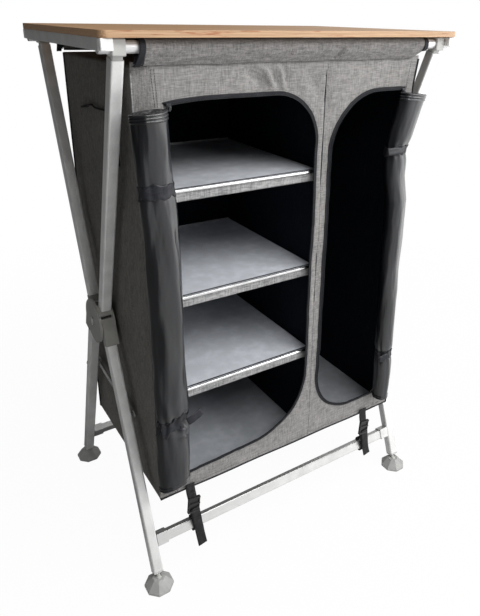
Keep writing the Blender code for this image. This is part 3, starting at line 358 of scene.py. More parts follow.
# %% Melange and charcoal weave
def woven(name, dark, light, roughness, yarn=0.0011, relief=0.00035, sheen=0.0, gloss=0.3):
    """Two sets of yarns across the surface, with dashes of light and dark along them."""
    finish, tree, shader, place = new_finish(name, Roughness=roughness, Sheen_Weight=sheen, Sheen_Roughness=0.6,
                                             Specular_IOR_Level=gloss)
    thin = 1 / yarn
    across = stretched(tree, place, (90, thin * 0.9, thin), 1.5)
    along = stretched(tree, place, (thin, thin * 0.9, 90), 1.5, (4, 4, 4))
    fine = weighed(tree, across, along)
    slubs_across = stretched(tree, place, (45, thin * 0.35, thin * 0.35), 2.0, (7, 1, 3))
    slubs_along = stretched(tree, place, (thin * 0.35, thin * 0.35, 45), 2.0, (1, 8, 2))
    tone = weighed(tree, fine, weighed(tree, slubs_across, slubs_along), 0.55)
    faded = stretched(tree, place, (9, 9, 9), 4.0, (3, 3, 9))
    base = ramp(tree, tone, (0.40, dark), (0.60, light))
    shade = ramp(tree, faded, (0.3, (0.90, 0.90, 0.90)), (0.7, (1.06, 1.05, 1.04)))
    colour_and_gloss(tree, shader, tinted(tree, base, shade))
    bumped(tree, shader, fine, relief)
    return finish


grey_melange = woven("grey_melange", (0.150, 0.147, 0.144), (0.345, 0.335, 0.328), 0.90, 0.0009, sheen=0.10)
sleeve_melange = woven("sleeve_melange", (0.112, 0.109, 0.107), (0.290, 0.280, 0.274), 0.90, sheen=0.10)
charcoal = woven("charcoal_weave", (0.080, 0.079, 0.073), (0.185, 0.178, 0.164), 0.88)
lining = woven("dark_lining", (0.0040, 0.0055, 0.0085), (0.0105, 0.0140, 0.0210), 0.85, gloss=0.06)
webbing = woven("black_webbing", (0.006, 0.006, 0.007), (0.030, 0.030, 0.032), 0.75, 0.0016, relief=0.0006)
binding = woven("black_binding", (0.006, 0.0065, 0.009), (0.020, 0.021, 0.026), 0.70, 0.0007)
band_cloth = woven("grey_band_cloth", (0.15, 0.15, 0.152), (0.48, 0.48, 0.485), 0.85, 0.0009)
tie_cloth = woven("coated_tie_cloth", (0.010, 0.0105, 0.014), (0.026, 0.027, 0.033), 0.42, 0.0009, relief=0.0001)


# %% Coated door cloth, thread and zip
coating = {"Coat_Weight": 0.62, "Coat_Roughness": 0.20}
door_cloth, tree, shader, place = new_finish("coated_door_cloth", Roughness=0.34, **coating)
pebbles = stretched(tree, place, (900, 900, 900), 2.0)
cloudy = stretched(tree, place, (24, 24, 8), 4.0, (2, 5, 1))
door_tone = ramp(tree, cloudy, (0.35, (0.0028, 0.0034, 0.0050)), (0.68, (0.0065, 0.0076, 0.0110)))
colour_and_gloss(tree, shader, door_tone, between(tree, cloudy, 0.30, 0.46))
bumped(tree, shader, pebbles, 0.00010)

thread = woven("grey_thread", (0.10, 0.10, 0.10), (0.24, 0.235, 0.23), 0.80, 0.0004)
dark_thread = woven("dark_thread", (0.010, 0.011, 0.014), (0.05, 0.052, 0.058), 0.70, 0.0004)
zip_plastic = moulded_plastic("zip_plastic", (0.010, 0.011, 0.014), 0.34)
print("finishes:", len(bpy.data.materials))

# %% [markdown]
# ## Dress the ready-made pieces
#
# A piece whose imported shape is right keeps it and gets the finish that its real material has.

# %% Give each rigid node its finish
finish_of = {
    "bamboo_board": bamboo,
    "side_rail": aluminium,
    "rail_cap": white_plastic,
    "upper_leg": aluminium,
    "lower_leg": aluminium,
    "hub_rivet": steel,
    "_hub_": hub_plastic,
    "leg_connector": grey_plastic,
    "top_rail": rail_metal,
    "bottom_rail": low_rail_metal,
    "foot_stem": grey_plastic,
    "_foot_": foot_plastic,
    "locking_brace": steel,
    "_rod": steel,
    "shelf_": shelf_laminate,
}


def dress(node_name, finish):
    """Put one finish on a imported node."""
    node = nodes[node_name]
    node.data.materials.clear()
    node.data.materials.append(finish)


dressed = 0
for node_name in nodes:
    found = [finish for part, finish in finish_of.items() if part in node_name and "sleeve" not in node_name]
    if found:
        dress(node_name, found[0])
        dressed += 1
print("dressed nodes:", dressed)

# %% [markdown]
# ## Helpers for the cloth
#
# Cloth is never flat. Each panel is a fine grid whose points are moved by two things: a slow unevenness made
# with noise, and a few named creases where the photo shows the cloth being pulled. A crease is a soft ridge along
# a line, which fades at both ends.

# %% Make pieces and move their points
def new_piece(name, points, faces, finish, body, slot_name):
    """A mesh object at the origin with one finish, which rides on a body; slot_name is not used."""
    mesh = bpy.data.meshes.new(name)
    mesh.from_pydata([tuple(point) for point in points], [], faces)
    mesh.materials.append(finish)
    mesh.update()
    mesh.shade_smooth()
    piece = put(name, mesh)
    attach(piece, body)
    return piece


def outward(piece):
    """Merge doubled points and make all faces point out."""
    shape = bmesh.new()
    shape.from_mesh(piece.data)
    bmesh.ops.remove_doubles(shape, verts=shape.verts, dist=0.00002)
    bmesh.ops.recalc_face_normals(shape, faces=shape.faces)
    shape.to_mesh(piece.data)
    shape.free()
    piece.data.shade_smooth()
    return piece


def thicken(piece, thickness, offset=0.0, inner_finish=None):
    """Give a sheet its wall, with another finish on the inner side if one is named."""
    wall = piece.modifiers.new("wall", "SOLIDIFY")
    wall.thickness = thickness
    wall.offset = offset
    wall.use_even_offset = False
    if inner_finish is not None:
        piece.data.materials.append(inner_finish)
        wall.material_offset = 1


def grid(columns, rows, place_of):
    """Points and faces of a grid; place_of gives the point for the shares 0 to 1 along both ways."""
    points = [place_of(column / columns, row / rows) for row in range(rows + 1) for column in range(columns + 1)]
    faces = []
    for row in range(rows):
        for column in range(columns):
            first = row * (columns + 1) + column
            faces.append((first, first + 1, first + columns + 2, first + columns + 1))
    return points, faces


def loft(rings, closed=False):
    """Points and faces of a skin over equal rings, with a cap at both ends unless the last meets the first."""
    size, count = len(rings[0]), len(rings)
    faces = []
    for level in range(count if closed else count - 1):
        low, high = level * size, (level + 1) % count * size
        for k in range(size):
            after = (k + 1) % size
            faces.append((low + k, low + after, high + after, high + k))
    if not closed:
        faces += [tuple(range(size))[::-1], tuple(range((count - 1) * size, count * size))]
    return [point for ring in rings for point in ring], faces


def middle_of(node_name):
    """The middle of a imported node's box."""
    low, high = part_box(node_name)
    return [(a + b) / 2 for a, b in zip(low, high)]


def unevenness(across, up, grain, height, seed=0.0):
    """A slow random rise and fall of a cloth."""
    return height * noise.fractal(Vector((across * grain, up * grain, seed)), 1.0, 2.0, 3)


def crease(across, up, start, end, width, height):
    """How far a soft ridge from start to end lifts this point."""
    along = (end[0] - start[0], end[1] - start[1])
    length = math.hypot(*along)
    way = ((across - start[0]) * along[0] + (up - start[1]) * along[1]) / length ** 2
    if not 0 < way < 1:
        return 0.0
    off = abs((across - start[0]) * along[1] - (up - start[1]) * along[0]) / length
    return height * math.exp(-(off / width) ** 2) * math.sin(math.pi * way) ** 1.5


def creased(across, up, folds):
    """The sum of a list of creases."""
    return sum(crease(across, up, *fold) for fold in folds)


# %% [markdown]
# ## Front panel
#
# The panel is one sheet with two door openings. Each opening has a large round corner on the zip side and small
# ones on the hinge side. The grid's faces inside an opening are dropped, and the rim's points are then pulled
# onto the true outline, so the edge is round although the grid is square.

# %% Openings
box_low, box_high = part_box("front_panel")
divider_x = middle_of("divider")[0]
left_x, bottom_z = box_low[0], box_low[2]
right_x, top_z = box_high[0], box_high[2]
front_y = box_low[1]
left_opening = {"low": (left_x + 0.0415, bottom_z + 0.0495), "high": (divider_x - 0.017, top_z - 0.0505),
                "zip_side": 1, "hinge": 0.020, "top": 0.090, "bottom": 0.130}
right_opening = {"low": (divider_x + 0.017, bottom_z + 0.048), "high": (right_x - 0.043, top_z - 0.055),
                 "zip_side": -1, "hinge": 0.020, "top": 0.110, "bottom": 0.100}
openings = {"left": left_opening, "right": right_opening}
panel_top = top_z + 0.005
strip_seam_x = left_x + 0.0300


def along_keys(keys, z):
    """The value at a height on a chain of (height, value) keys."""
    for (low, first), (high, second) in zip(keys, keys[1:]):
        if z <= high:
            return first + (second - first) * max(0.0, (z - low) / (high - low))
    return keys[-1][1]


slack_keys = [(bottom_z + 0.012, 0.0), (0.500, 0.0140), (0.700, 0.0205), (0.755, 0.0325), (0.820, 0.0350),
              (0.866, 0.0300), (0.911, 0.0250), (0.945, 0.0235), (top_z, 0.0170)]
squeezed_from_x = 0.261


def slack(z):
    """How far the slack right wall is drawn in at a height."""
    return along_keys(slack_keys, z)


def drawn_in(x, z):
    """Where a point of the front or back goes when the right wall draws in: only the edge strip is squeezed."""
    if x <= squeezed_from_x:
        return x
    strip = right_x - squeezed_from_x
    return squeezed_from_x + (x - squeezed_from_x) * (strip - slack(z)) / strip


def outside_by(x, z, opening):
    """How far a point lies outside an opening; negative inside."""
    centre_x = (opening["low"][0] + opening["high"][0]) / 2
    centre_z = (opening["low"][1] + opening["high"][1]) / 2
    radius = opening["hinge"]
    if (x - centre_x) * opening["zip_side"] > 0:
        radius = opening["top"] if z > centre_z else opening["bottom"]
    over_x = abs(x - centre_x) - (opening["high"][0] - centre_x) + radius
    over_z = abs(z - centre_z) - (opening["high"][1] - centre_z) + radius
    return min(max(over_x, over_z), 0) + math.hypot(max(over_x, 0), max(over_z, 0)) - radius


def away_from(x, z, opening):
    """The direction straight out of an opening's edge."""
    step = 0.0005
    slope_x = outside_by(x + step, z, opening) - outside_by(x - step, z, opening)
    slope_z = outside_by(x, z + step, opening) - outside_by(x, z - step, opening)
    length = math.hypot(slope_x, slope_z) or 1.0
    return slope_x / length, slope_z / length


def put_on_edge(x, z, opening, offset=0.0):
    """Move a point along the way out until it lies at an offset from the edge."""
    for _ in range(4):
        slope = away_from(x, z, opening)
        gap = outside_by(x, z, opening) - offset
        x, z = x - slope[0] * gap, z - slope[1] * gap
    return x, z


# %% Cut and crease the front panel
cloth_back = 0.0008
turn_start_z, turn_height, turn_least, turn_more = 0.860, 0.060, 0.0010, 0.0115
sag_above, sag_below, sag_side = 0.0070, 0.0105, 0.030
between_rolls_x, between_rolls_half, roll_shade = 0.005, 0.225, 0.03
front_folds = [
    ((-0.03, 0.992), (0.045, 0.905), 0.012, -0.0030),
    ((0.00, 0.992), (0.058, 0.915), 0.009, 0.0022),
    ((-0.09, 0.992), (-0.02, 0.940), 0.012, -0.0018),
    ((0.085, 0.992), (0.062, 0.880), 0.010, -0.0022),
    ((0.135, 0.992), (0.120, 0.925), 0.010, -0.0016),
    ((-0.20, 0.992), (-0.23, 0.945), 0.012, -0.0015),
    ((-0.1200, 1.0000), (-0.0650, 0.9340), 0.0085, 0.0048),
    ((-0.0900, 1.0020), (-0.0480, 0.9380), 0.0048, -0.0060),
    ((-0.0700, 1.0000), (-0.0430, 0.9400), 0.0048, 0.0048),
    ((-0.0500, 1.0040), (-0.0330, 0.9380), 0.0042, -0.0052),
    ((-0.0390, 1.0040), (-0.0240, 0.9380), 0.0055, 0.0040),
    ((-0.25, 0.190), (-0.13, 0.235), 0.010, -0.0020),
    ((-0.22, 0.186), (-0.02, 0.222), 0.009, 0.0020),
    ((0.00, 0.190), (0.058, 0.330), 0.014, -0.0024),
    ((0.058, 0.200), (0.20, 0.215), 0.010, -0.0018),
    ((0.22, 0.186), (0.12, 0.230), 0.009, 0.0018),
    ((0.058, 0.300), (0.058, 0.860), 0.008, 0.0014),
]
middle_fold_keys = [(0.889, 0.0558), (0.967, 0.0548), (1.0, 0.0625)]
middle_fold_height, middle_fold_width = 0.0045, 0.014


def limited(value):
    """A share kept between 0 and 1."""
    return min(1.0, max(0.0, value))


def corner_turn(z):
    """How far the left front corner is pulled back at a height: only above the roll."""
    return turn_least + turn_more * limited((z - turn_start_z) / turn_height)


def hung(x, z):
    """Where a height of the panel ends up: the cloth sags above and below the left door's hinge."""
    low_edge, edge = left_opening["low"][1], left_opening["high"][1]
    off_side = min(1.0, (x - left_x) / sag_side)
    near = limited((-0.175 - x) / 0.085) ** 1.5 * off_side
    fade = (top_z - z) / (top_z - edge) if z > edge else 1 - (edge - z) / 0.060
    low_near = limited((-0.045 - x) / 0.205) * off_side
    low_fade = (z - bottom_z) / (low_edge - bottom_z) if z < low_edge else 1 - (z - low_edge) / 0.050
    low_sag = (sag_below + unevenness(x, 0, 30, 0.0024)) * low_near * max(0.0, low_fade)
    return z - sag_above * near * max(0.0, fade) - low_sag


def front_surface(x, z):
    """The Y of the front panel's cloth: it has its folds between the rolls, and its left strip turns away."""
    edge = min(x - left_x, right_x - x, z - bottom_z, panel_top - z)
    turned = corner_turn(z) * max(0.0, (strip_seam_x - x) / (strip_seam_x - left_x)) ** 1.25
    loose = limited(edge / 0.02)
    between_rolls = limited((between_rolls_half - abs(x - between_rolls_x)) / roll_shade)
    lift = unevenness(x, z, 13, 0.0022, 3.0) + unevenness(x, z, 45, 0.0006, 8.0) + creased(x, z, front_folds)
    past_fold = x - along_keys(middle_fold_keys, z)
    if past_fold > 0:
        lift += middle_fold_height * math.exp(-past_fold / middle_fold_width) * limited((z - 0.72) / 0.12)
    return front_y + cloth_back + turned + loose * between_rolls * lift


columns, rows = 250, 320
at_border = 0.001
flat_points = [(left_x + (right_x - left_x) * column / columns, bottom_z + (panel_top - bottom_z) * row / rows)
               for row in range(rows + 1) for column in range(columns + 1)]
_, panel_faces = grid(columns, rows, lambda across, up: (across, up))


def is_cloth(face):
    """Whether a grid face's middle lies outside both openings."""
    x = sum(flat_points[index][0] for index in face) / 4
    z = sum(flat_points[index][1] for index in face) / 4
    return all(outside_by(x, z, opening) > 0 for opening in openings.values())


kept = [face for face in panel_faces if is_cloth(face)]
uses = {}
for face in kept:
    for first, second in zip(face, face[1:] + face[:1]):
        key = (min(first, second), max(first, second))
        uses[key] = uses.get(key, 0) + 1
rim = {index for edge, count in uses.items() if count == 1 for index in edge}
for index in rim:
    x, z = flat_points[index]
    if min(x - left_x, right_x - x, z - bottom_z, panel_top - z) > at_border:
        nearest = min(openings.values(), key=lambda opening: abs(outside_by(x, z, opening)))
        flat_points[index] = put_on_edge(x, z, nearest)
used = sorted({index for face in kept for index in face})
new_index = {old: new for new, old in enumerate(used)}
points = [(drawn_in(*flat_points[i]), front_surface(*flat_points[i]), hung(*flat_points[i])) for i in used]
faces = [tuple(new_index[i] for i in face) for face in kept]
front_cloth = new_piece("front_cloth", points, faces, grey_melange, "cupboard", "grey_melange")
thicken(front_cloth, 0.0016, 0.0, lining)
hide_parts("front_panel")

# %% [markdown]
# ## Rolled doors
#
# Each door is coated cloth wound into a flat roll beside its opening and held by two ties. The roll is a stack of
# oval rings. The wound layers make it step down once round the outside, long soft dents run along it, and the
# ties pull it in and gather it; three small folds spread below the left roll's lower tie. Both ends show the
# layers as a spiral.

# %% Wind the rolls
roll_top, roll_bottom = top_z - 0.061, bottom_z + 0.045
roll_outer = right_x + 0.0080
right_roll_keys = [(0.232, 0.2745), (0.300, 0.2750), (0.457, 0.2690), (0.560, 0.2665), (0.640, 0.2680),
                   (0.719, 0.2655), (0.770, 0.2540), (0.820, 0.2515), (0.866, 0.2670), (0.926, 0.2880)]
roll_half_depth, roll_wall = 0.0188, 0.0016
roll_half_widths = {"left": (0.0292, 0.0332), "right": (0.0290, 0.0190)}
roll_tilts = {"left": (0.0025, 0.0060), "right": (-0.0030, 0.0015)}
dent_depths = {"left": 0.0036, "right": 0.0022}
free_edge = {"left": math.radians(75), "right": math.radians(100)}
tie_levels = {"left": (roll_bottom + 0.146, roll_top - 0.120),
              "right": (roll_bottom + 0.123, roll_top - 0.107)}
tie_pinches = {"left": (0.0062, 0.0018), "right": (0.0034, 0.0034)}
left_tie_folds = [(0.017, 0.0030), (0.026, -0.0016), (0.033, 0.0024)]
fold_turn, fold_slant, fold_width, fold_reach = math.radians(300), 0.010, 0.0034, 0.50
lean_out, lean_height = 0.0095, 0.230
roll_gap, closest_gap = 0.0006, 0.0004
skin_x, skin_y = 0.0010, 0.0012
hem_pitch, top_hem_rows, low_hem_rows = 0.0048, 3, 2


def roll_half_width(name, z):
    """A roll's half width at a height."""
    upper, lower = roll_half_widths[name]
    share = (z - roll_bottom) / (roll_top - roll_bottom)
    return lower + (upper - lower) * share


def roll_outer_x(name, z):
    """A roll's outer edge: the left one leans out at the top, and the right one follows the slack wall."""
    if name == "left":
        return roll_outer + lean_out * limited((z - roll_top + lean_height) / lean_height)
    return along_keys(right_roll_keys, z)


def roll_point(name, turn, z, inset=0.0, lift=0.0):
    """A point on a roll's skin: turn goes round it from +X, and inset and lift move it in or out."""
    side = -1 if name == "left" else 1
    half = roll_half_width(name, z)
    centre_x = side * (roll_outer_x(name, z) - half)
    centre_y = front_y - roll_gap - roll_half_depth
    at_top, at_bottom = math.exp(-(roll_top - z) / 0.035), math.exp(-(z - roll_bottom) / 0.050)
    pinched = list(zip(tie_pinches[name], tie_levels[name]))
    pinch = sum(depth * math.exp(-((z - level) / 0.014) ** 2) for depth, level in pinched)
    pinch += 0.0012 * math.exp(-((z - roll_bottom) / 0.025) ** 2)
    winding = ((turn - free_edge[name]) / (2 * math.pi)) % 1.0
    step = roll_wall * (min(1.0, winding / 0.02) * (1 - winding) - 0.5)
    across, deep, seed = math.cos(turn), math.sin(turn), side * 3.1
    dents = dent_depths[name] * noise.fractal(Vector((across * 0.8 + seed, deep * 0.8, z * 6.5)), 0.9, 2.1, 2)
    small = 0.0004 * noise.fractal(Vector((across * 3 + seed, deep * 3, z * 22)), 1.0, 2.0, 3)
    near_tie = sum(depth / 0.0040 * math.exp(-abs(z - level) / 0.026) for depth, level in pinched)
    gather = 0.0009 * near_tie * math.sin(9 * turn + 2.5 * side + 40 * z)
    if name == "left":
        off_turn = turn - fold_turn
        for drop, height in left_tie_folds:
            off_line = z - tie_levels[name][0] + drop + fold_slant * off_turn
            gather += height * math.exp(-(off_line / fold_width) ** 2) * math.exp(-(off_turn / fold_reach) ** 2)
    from_end, rows_there = min((roll_top - z, top_hem_rows), (z - roll_bottom, low_hem_rows))
    in_hem = from_end < rows_there * hem_pitch
    hem = roll_wall * abs(math.sin(math.pi * from_end / hem_pitch)) ** 0.7 if in_hem else 0.0
    out = step + dents + small + gather + hem - pinch + lift
    flat_x, flat_y = (math.copysign(abs(way) ** 0.97, way) for way in (across, deep))
    scale = 1 - inset
    top_tilt, low_tilt = roll_tilts[name]
    x = centre_x + scale * (half - skin_x + out) * flat_x
    y = centre_y + scale * (roll_half_depth - skin_y + out) * flat_y
    rise = (top_tilt * at_top + low_tilt * at_bottom) * scale * across - 0.0015 * at_top
    return Vector((x, min(y, front_y - closest_gap), z + rise))


def roll_end(name, turn, z, inset, direction):
    """The wound layers on a roll's end."""
    layer = (inset * 5 + turn / (2 * math.pi)) % 1.0
    groove = abs(layer - 0.5) * 2
    point = roll_point(name, turn, z, inset)
    point.z -= direction * (0.0045 * groove ** 5 * min(1.0, inset * 8) + 0.0015 * inset)
    return point


def wound_roll(name):
    """One closed roll with a spiral at both ends."""
    around, tall, in_rings = 112, 180, 30
    turns = [2 * math.pi * i / around for i in range(around)]
    insets = [0.97 * ring / in_rings for ring in range(1, in_rings + 1)]
    fine = [0.0006 * step for step in range(26)]
    span = roll_top - roll_bottom - 2 * fine[-1]
    levels = [roll_bottom + step for step in fine]
    levels += [roll_bottom + fine[-1] + span * i / tall for i in range(1, tall)]
    levels += [roll_top - step for step in reversed(fine)]
    rings = [[roll_end(name, turn, roll_bottom, inset, -1) for turn in turns] for inset in reversed(insets)]
    rings += [[roll_point(name, turn, z) for turn in turns] for z in levels]
    rings += [[roll_end(name, turn, roll_top, inset, 1) for turn in turns] for inset in insets]
    points, faces = loft(rings)
    roll = outward(new_piece("rolled_door_" + name, points, faces, door_cloth, "cupboard", "coated_door_fabric"))
    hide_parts("door_roll_" + name)
    print(roll.name, len(faces), "faces")
    return roll


rolls = {name: wound_roll(name) for name in openings}

# %% [markdown]
# ## Sleeves round the top rails
#
# The box hangs from its two top rails in cloth sleeves. In section a sleeve is a drop: round over the tube and
# closed in a seam below it. It is a little loose, so its lower half ripples, and it is drawn flatter at the right
# end.

# %% Sew the sleeves
def smooth_path(corners, count):
    """Evenly numbered points on a curve through all the corners."""
    points = []
    last = len(corners) - 1
    for step in range(count + 1):
        way = last * step / count
        index = min(int(way), last - 1)
        t = way - index
        before, first, second, after = (Vector(corners[max(0, min(last, index + k))]) for k in (-1, 0, 1, 2))
        bend = 2 * before - 5 * first + 4 * second - after
        twist = 3 * first - before - 3 * second + after
        points.append(0.5 * (2 * first + (second - before) * t + bend * t ** 2 + twist * t ** 3))
    return points


drop_section = [(0.0000, -0.0255), (-0.0035, -0.0205), (-0.0085, -0.0120), (-0.0112, -0.0030), (-0.0104, 0.0048),
                (-0.0060, 0.0096), (0.0000, 0.0111), (0.0060, 0.0096), (0.0106, 0.0040), (0.0098, -0.0060),
                (0.0068, -0.0125), (0.0042, -0.0178), (0.0030, -0.0215)]
sleeve_folds = [((-0.01, 0.00), (0.065, 0.36), 0.010, 0.0036), ((0.055, -0.03), (0.095, 0.36), 0.005, -0.0075),
                ((0.064, -0.03), (0.106, 0.36), 0.006, 0.0065), ((-0.28, 0.03), (-0.16, 0.20), 0.012, 0.0036),
                ((-0.20, 0.30), (0.02, 0.22), 0.022, -0.0018), ((0.13, 0.02), (0.25, 0.26), 0.012, -0.0016)]
section_steps = 44
flatter_right_end = 0.55


def rail_sleeve(place, body, finish, slot_name):
    """A cloth sleeve over one top rail; place is front or rear."""
    node = place + "_rail_sleeve"
    cloth_low, cloth_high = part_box(node)
    side = -1 if place == "front" else 1
    _, rail_y, rail_z = middle_of(place + "_top_rail")
    section = smooth_path([(depth, height, 0) for depth, height in drop_section], section_steps)

    def cloth_point(across, round_it):
        x = cloth_low[0] + (cloth_high[0] - cloth_low[0]) * across
        depth, height, _ = section[round(round_it * section_steps)]
        loose = limited((0.004 - height) / 0.016) * min(1.0, 12 * min(across, 1 - across) + 0.15)
        ripple = unevenness(x, round_it, 24, 0.0013, 5.0 * side)
        ripple += 0.6 * creased(x * -side, round_it, sleeve_folds)
        sag = noise.fractal(Vector((x * 14, 1.3 * side, 0)), 1.0, 2.0, 2)
        hang = 0.0012 * sag * max(0.0, 1 - round_it * 5)
        if height < 0 and x > 0:
            height *= 1 - flatter_right_end * max(0.0, (x - 0.258) / 0.030)
        front_half = 1 if round_it < 0.5 else -0.4
        return (x, rail_y - side * (depth - loose * ripple * front_half), rail_z + height + hang)

    points, faces = grid(260, section_steps, cloth_point)
    sleeve = new_piece(place + "_sleeve_cloth", points, faces, finish, body, slot_name)
    thicken(sleeve, 0.0011)
    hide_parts(node)
    return sleeve


front_sleeve = rail_sleeve("front", "front_top_frame", sleeve_melange, "grey_melange")
rear_sleeve = rail_sleeve("rear", "rear_top_frame", charcoal, "charcoal_fabric")

# %% [markdown]
# ## Side, back, roof, floor and dividing panels
#
# The other walls are charcoal outside and nearly black inside. The sides hang loosely: pulled at the front and
# rear corners, they bow in between, and shallow folds run down from the corners. The floor is coated grey on top
# and is soft as well.

# %% Hang the dark panels
def wall_cloth(name, columns, rows, way_out, relief, slot_name="charcoal_fabric", level=None):
    """A cloth across a packed wall's box, moved out by relief(u, v) and drawn in on the right."""
    normal = Vector(way_out)
    low, high = (Vector(corner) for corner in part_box(name))
    thin = max(range(3), key=lambda axis: abs(normal[axis]))
    corner = low.copy()
    corner[thin] = (low[thin] + high[thin]) / 2 if level is None else level
    first, second = (axis for axis in range(3) if axis != thin)
    across, up = Vector(), Vector()
    across[first] = high[first] - low[first]
    up[second] = high[second] - low[second]

    def cloth_point(u, v):
        pinned = min(1.0, 14 * min(u, 1 - u, v, 1 - v))
        spot = corner + across * u + up * v + normal * relief(u, v) * pinned
        spot.x = drawn_in(spot.x, spot.z)
        if name == "side_panel_left":
            spot.y = max(spot.y, front_y + corner_turn(spot.z))
        return spot

    points, faces = grid(columns, rows, cloth_point)
    wall = new_piece(name + "_cloth", points, faces, charcoal, "cupboard", slot_name)
    if Vector(wall.data.polygons[0].normal).dot(normal) < 0:
        wall.data.flip_normals()
    thicken(wall, 0.0014, 0.0, lining)
    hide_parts(name)
    return wall


side_folds = [((0.02, 0.99), (0.55, 0.55), 0.06, -0.0040), ((0.98, 0.99), (0.45, 0.62), 0.07, -0.0050),
              ((0.95, 0.90), (0.60, 0.30), 0.05, 0.0030), ((0.03, 0.70), (0.30, 0.15), 0.06, 0.0030),
              ((0.30, 0.95), (0.25, 0.40), 0.05, 0.0024), ((0.70, 0.75), (0.85, 0.20), 0.05, -0.0030)]


def side_relief(u, v):
    """A side wall's bow inwards, its folds and its unevenness."""
    bow = 0.0022 * math.sin(math.pi * u) * math.sin(math.pi * v) ** 0.7
    return max(-0.0004, bow + unevenness(u * 0.35, v * 0.8, 9, 0.0024, 6.0) + 0.6 * creased(u, v, side_folds))


def back_relief(u, v):
    """The back wall's unevenness, a hair outwards."""
    return unevenness(u * 0.6, v * 0.8, 9, 0.0018, 2.0) + 0.0006


def roof_relief(u, v):
    """The roof's unevenness."""
    return unevenness(u, v, 7, 0.0012, 1.0)


def floor_relief(u, v):
    """The floor's unevenness."""
    return unevenness(u, v, 5, 0.0008, 3.0)


def divider_relief(u, v):
    """The dividing panel's unevenness."""
    return unevenness(u * 0.35, v, 8, 0.0012, 4.0)


box_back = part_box("back_panel")[1][1]
floor_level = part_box("floor_panel")[1][2] - 0.0007
walls = {
    "left": wall_cloth("side_panel_left", 72, 150, (-1, 0, 0), side_relief),
    "right": wall_cloth("side_panel_right", 72, 150, (1, 0, 0), side_relief),
    "back": wall_cloth("back_panel", 120, 150, (0, 1, 0), back_relief),
    "roof": wall_cloth("roof_panel", 90, 50, (0, 0, 1), roof_relief),
    "divider": wall_cloth("divider", 50, 120, (-1, 0, 0), divider_relief),
    "floor": wall_cloth("floor_panel", 60, 40, (0, 0, 1), floor_relief, "shelf_board", floor_level),
}
walls["divider"].data.materials[0] = lining
walls["floor"].data.materials[0] = floor_laminate

# %% [markdown]
# ## Zips
#
# Each door closes with a zip that runs from the hinge side over the top, down the free side and back along the
# bottom. It is a dark tape sewn round the opening, with a coil of teeth at its inner edge. The tape is swept
# along the opening's outline. The teeth are one small block that Geometry Nodes sets along the same line.

# %% Outline of a zip
def zip_line(opening, offset, step=0.004):
    """Points along the free sides of an opening, at an offset from its edge."""
    inward = opening["zip_side"]
    ends = (opening["low"][0], opening["high"][0])
    hinge_x, free_x = ends[::inward]
    start_x = hinge_x + inward * 0.003
    top, bottom = opening["high"][1], opening["low"][1]
    corners = [(start_x, top)]
    for radius, z, first in ((opening["top"], top - opening["top"], 90),
                             (opening["bottom"], bottom + opening["bottom"], 0)):
        for angle in (math.radians(first - 90 * tick / 12) for tick in range(13)):
            corners.append((free_x - inward * radius * (1 - math.cos(angle)), z + radius * math.sin(angle)))
    corners.append((start_x, bottom))
    line = [Vector(corners[0])]
    for corner in corners[1:]:
        start = line[-1].copy()
        run = Vector(corner) - start
        count = max(1, round(run.length / step))
        line += [start + run * (i / count) for i in range(1, count + 1)]
    ways = [away_from(x, z, opening) for x, z in line]
    return [(x + way[0] * offset, z + way[1] * offset) for (x, z), way in zip(line, ways)]


def on_front(x, z, proud):
    """A point just in front of the front panel's cloth."""
    return Vector((drawn_in(x, z), front_surface(x, z) - 0.0008 - proud, hung(x, z)))


tape_section = [(-0.0022, 0.0002), (-0.0018, 0.0010), (-0.0008, 0.0013), (0.0006, 0.0010), (0.0018, 0.0009),
                (0.0030, 0.0013), (0.0041, 0.0011), (0.0046, 0.0001)]
tapes = {}
for name, opening in openings.items():
    strands = [zip_line(opening, offset) for offset, _ in tape_section]
    points = [on_front(x, z, proud) for (_, proud), strand in zip(tape_section, strands) for x, z in strand]
    count = len(strands[0])
    _, faces = grid(count - 1, len(strands) - 1, lambda across, up: None)
    tapes[name] = new_piece("zip_tape_" + name, points, faces, binding, "cupboard", "charcoal_fabric")
    if tapes[name].data.polygons[count // 2].normal.y > 0:
        tapes[name].data.flip_normals()
    thicken(tapes[name], 0.0009, -1.0)


# %% Set small parts along a line with Geometry Nodes
def line_object(name, points):
    """An open curve through points, which the node tree reads."""
    curve = bpy.data.curves.new(name, "CURVE")
    curve.dimensions = "3D"
    spline = curve.splines.new("POLY")
    spline.points.add(len(points) - 1)
    for spot, point in zip(spline.points, points):
        spot.co = (*point, 1.0)
    return put(name, curve)


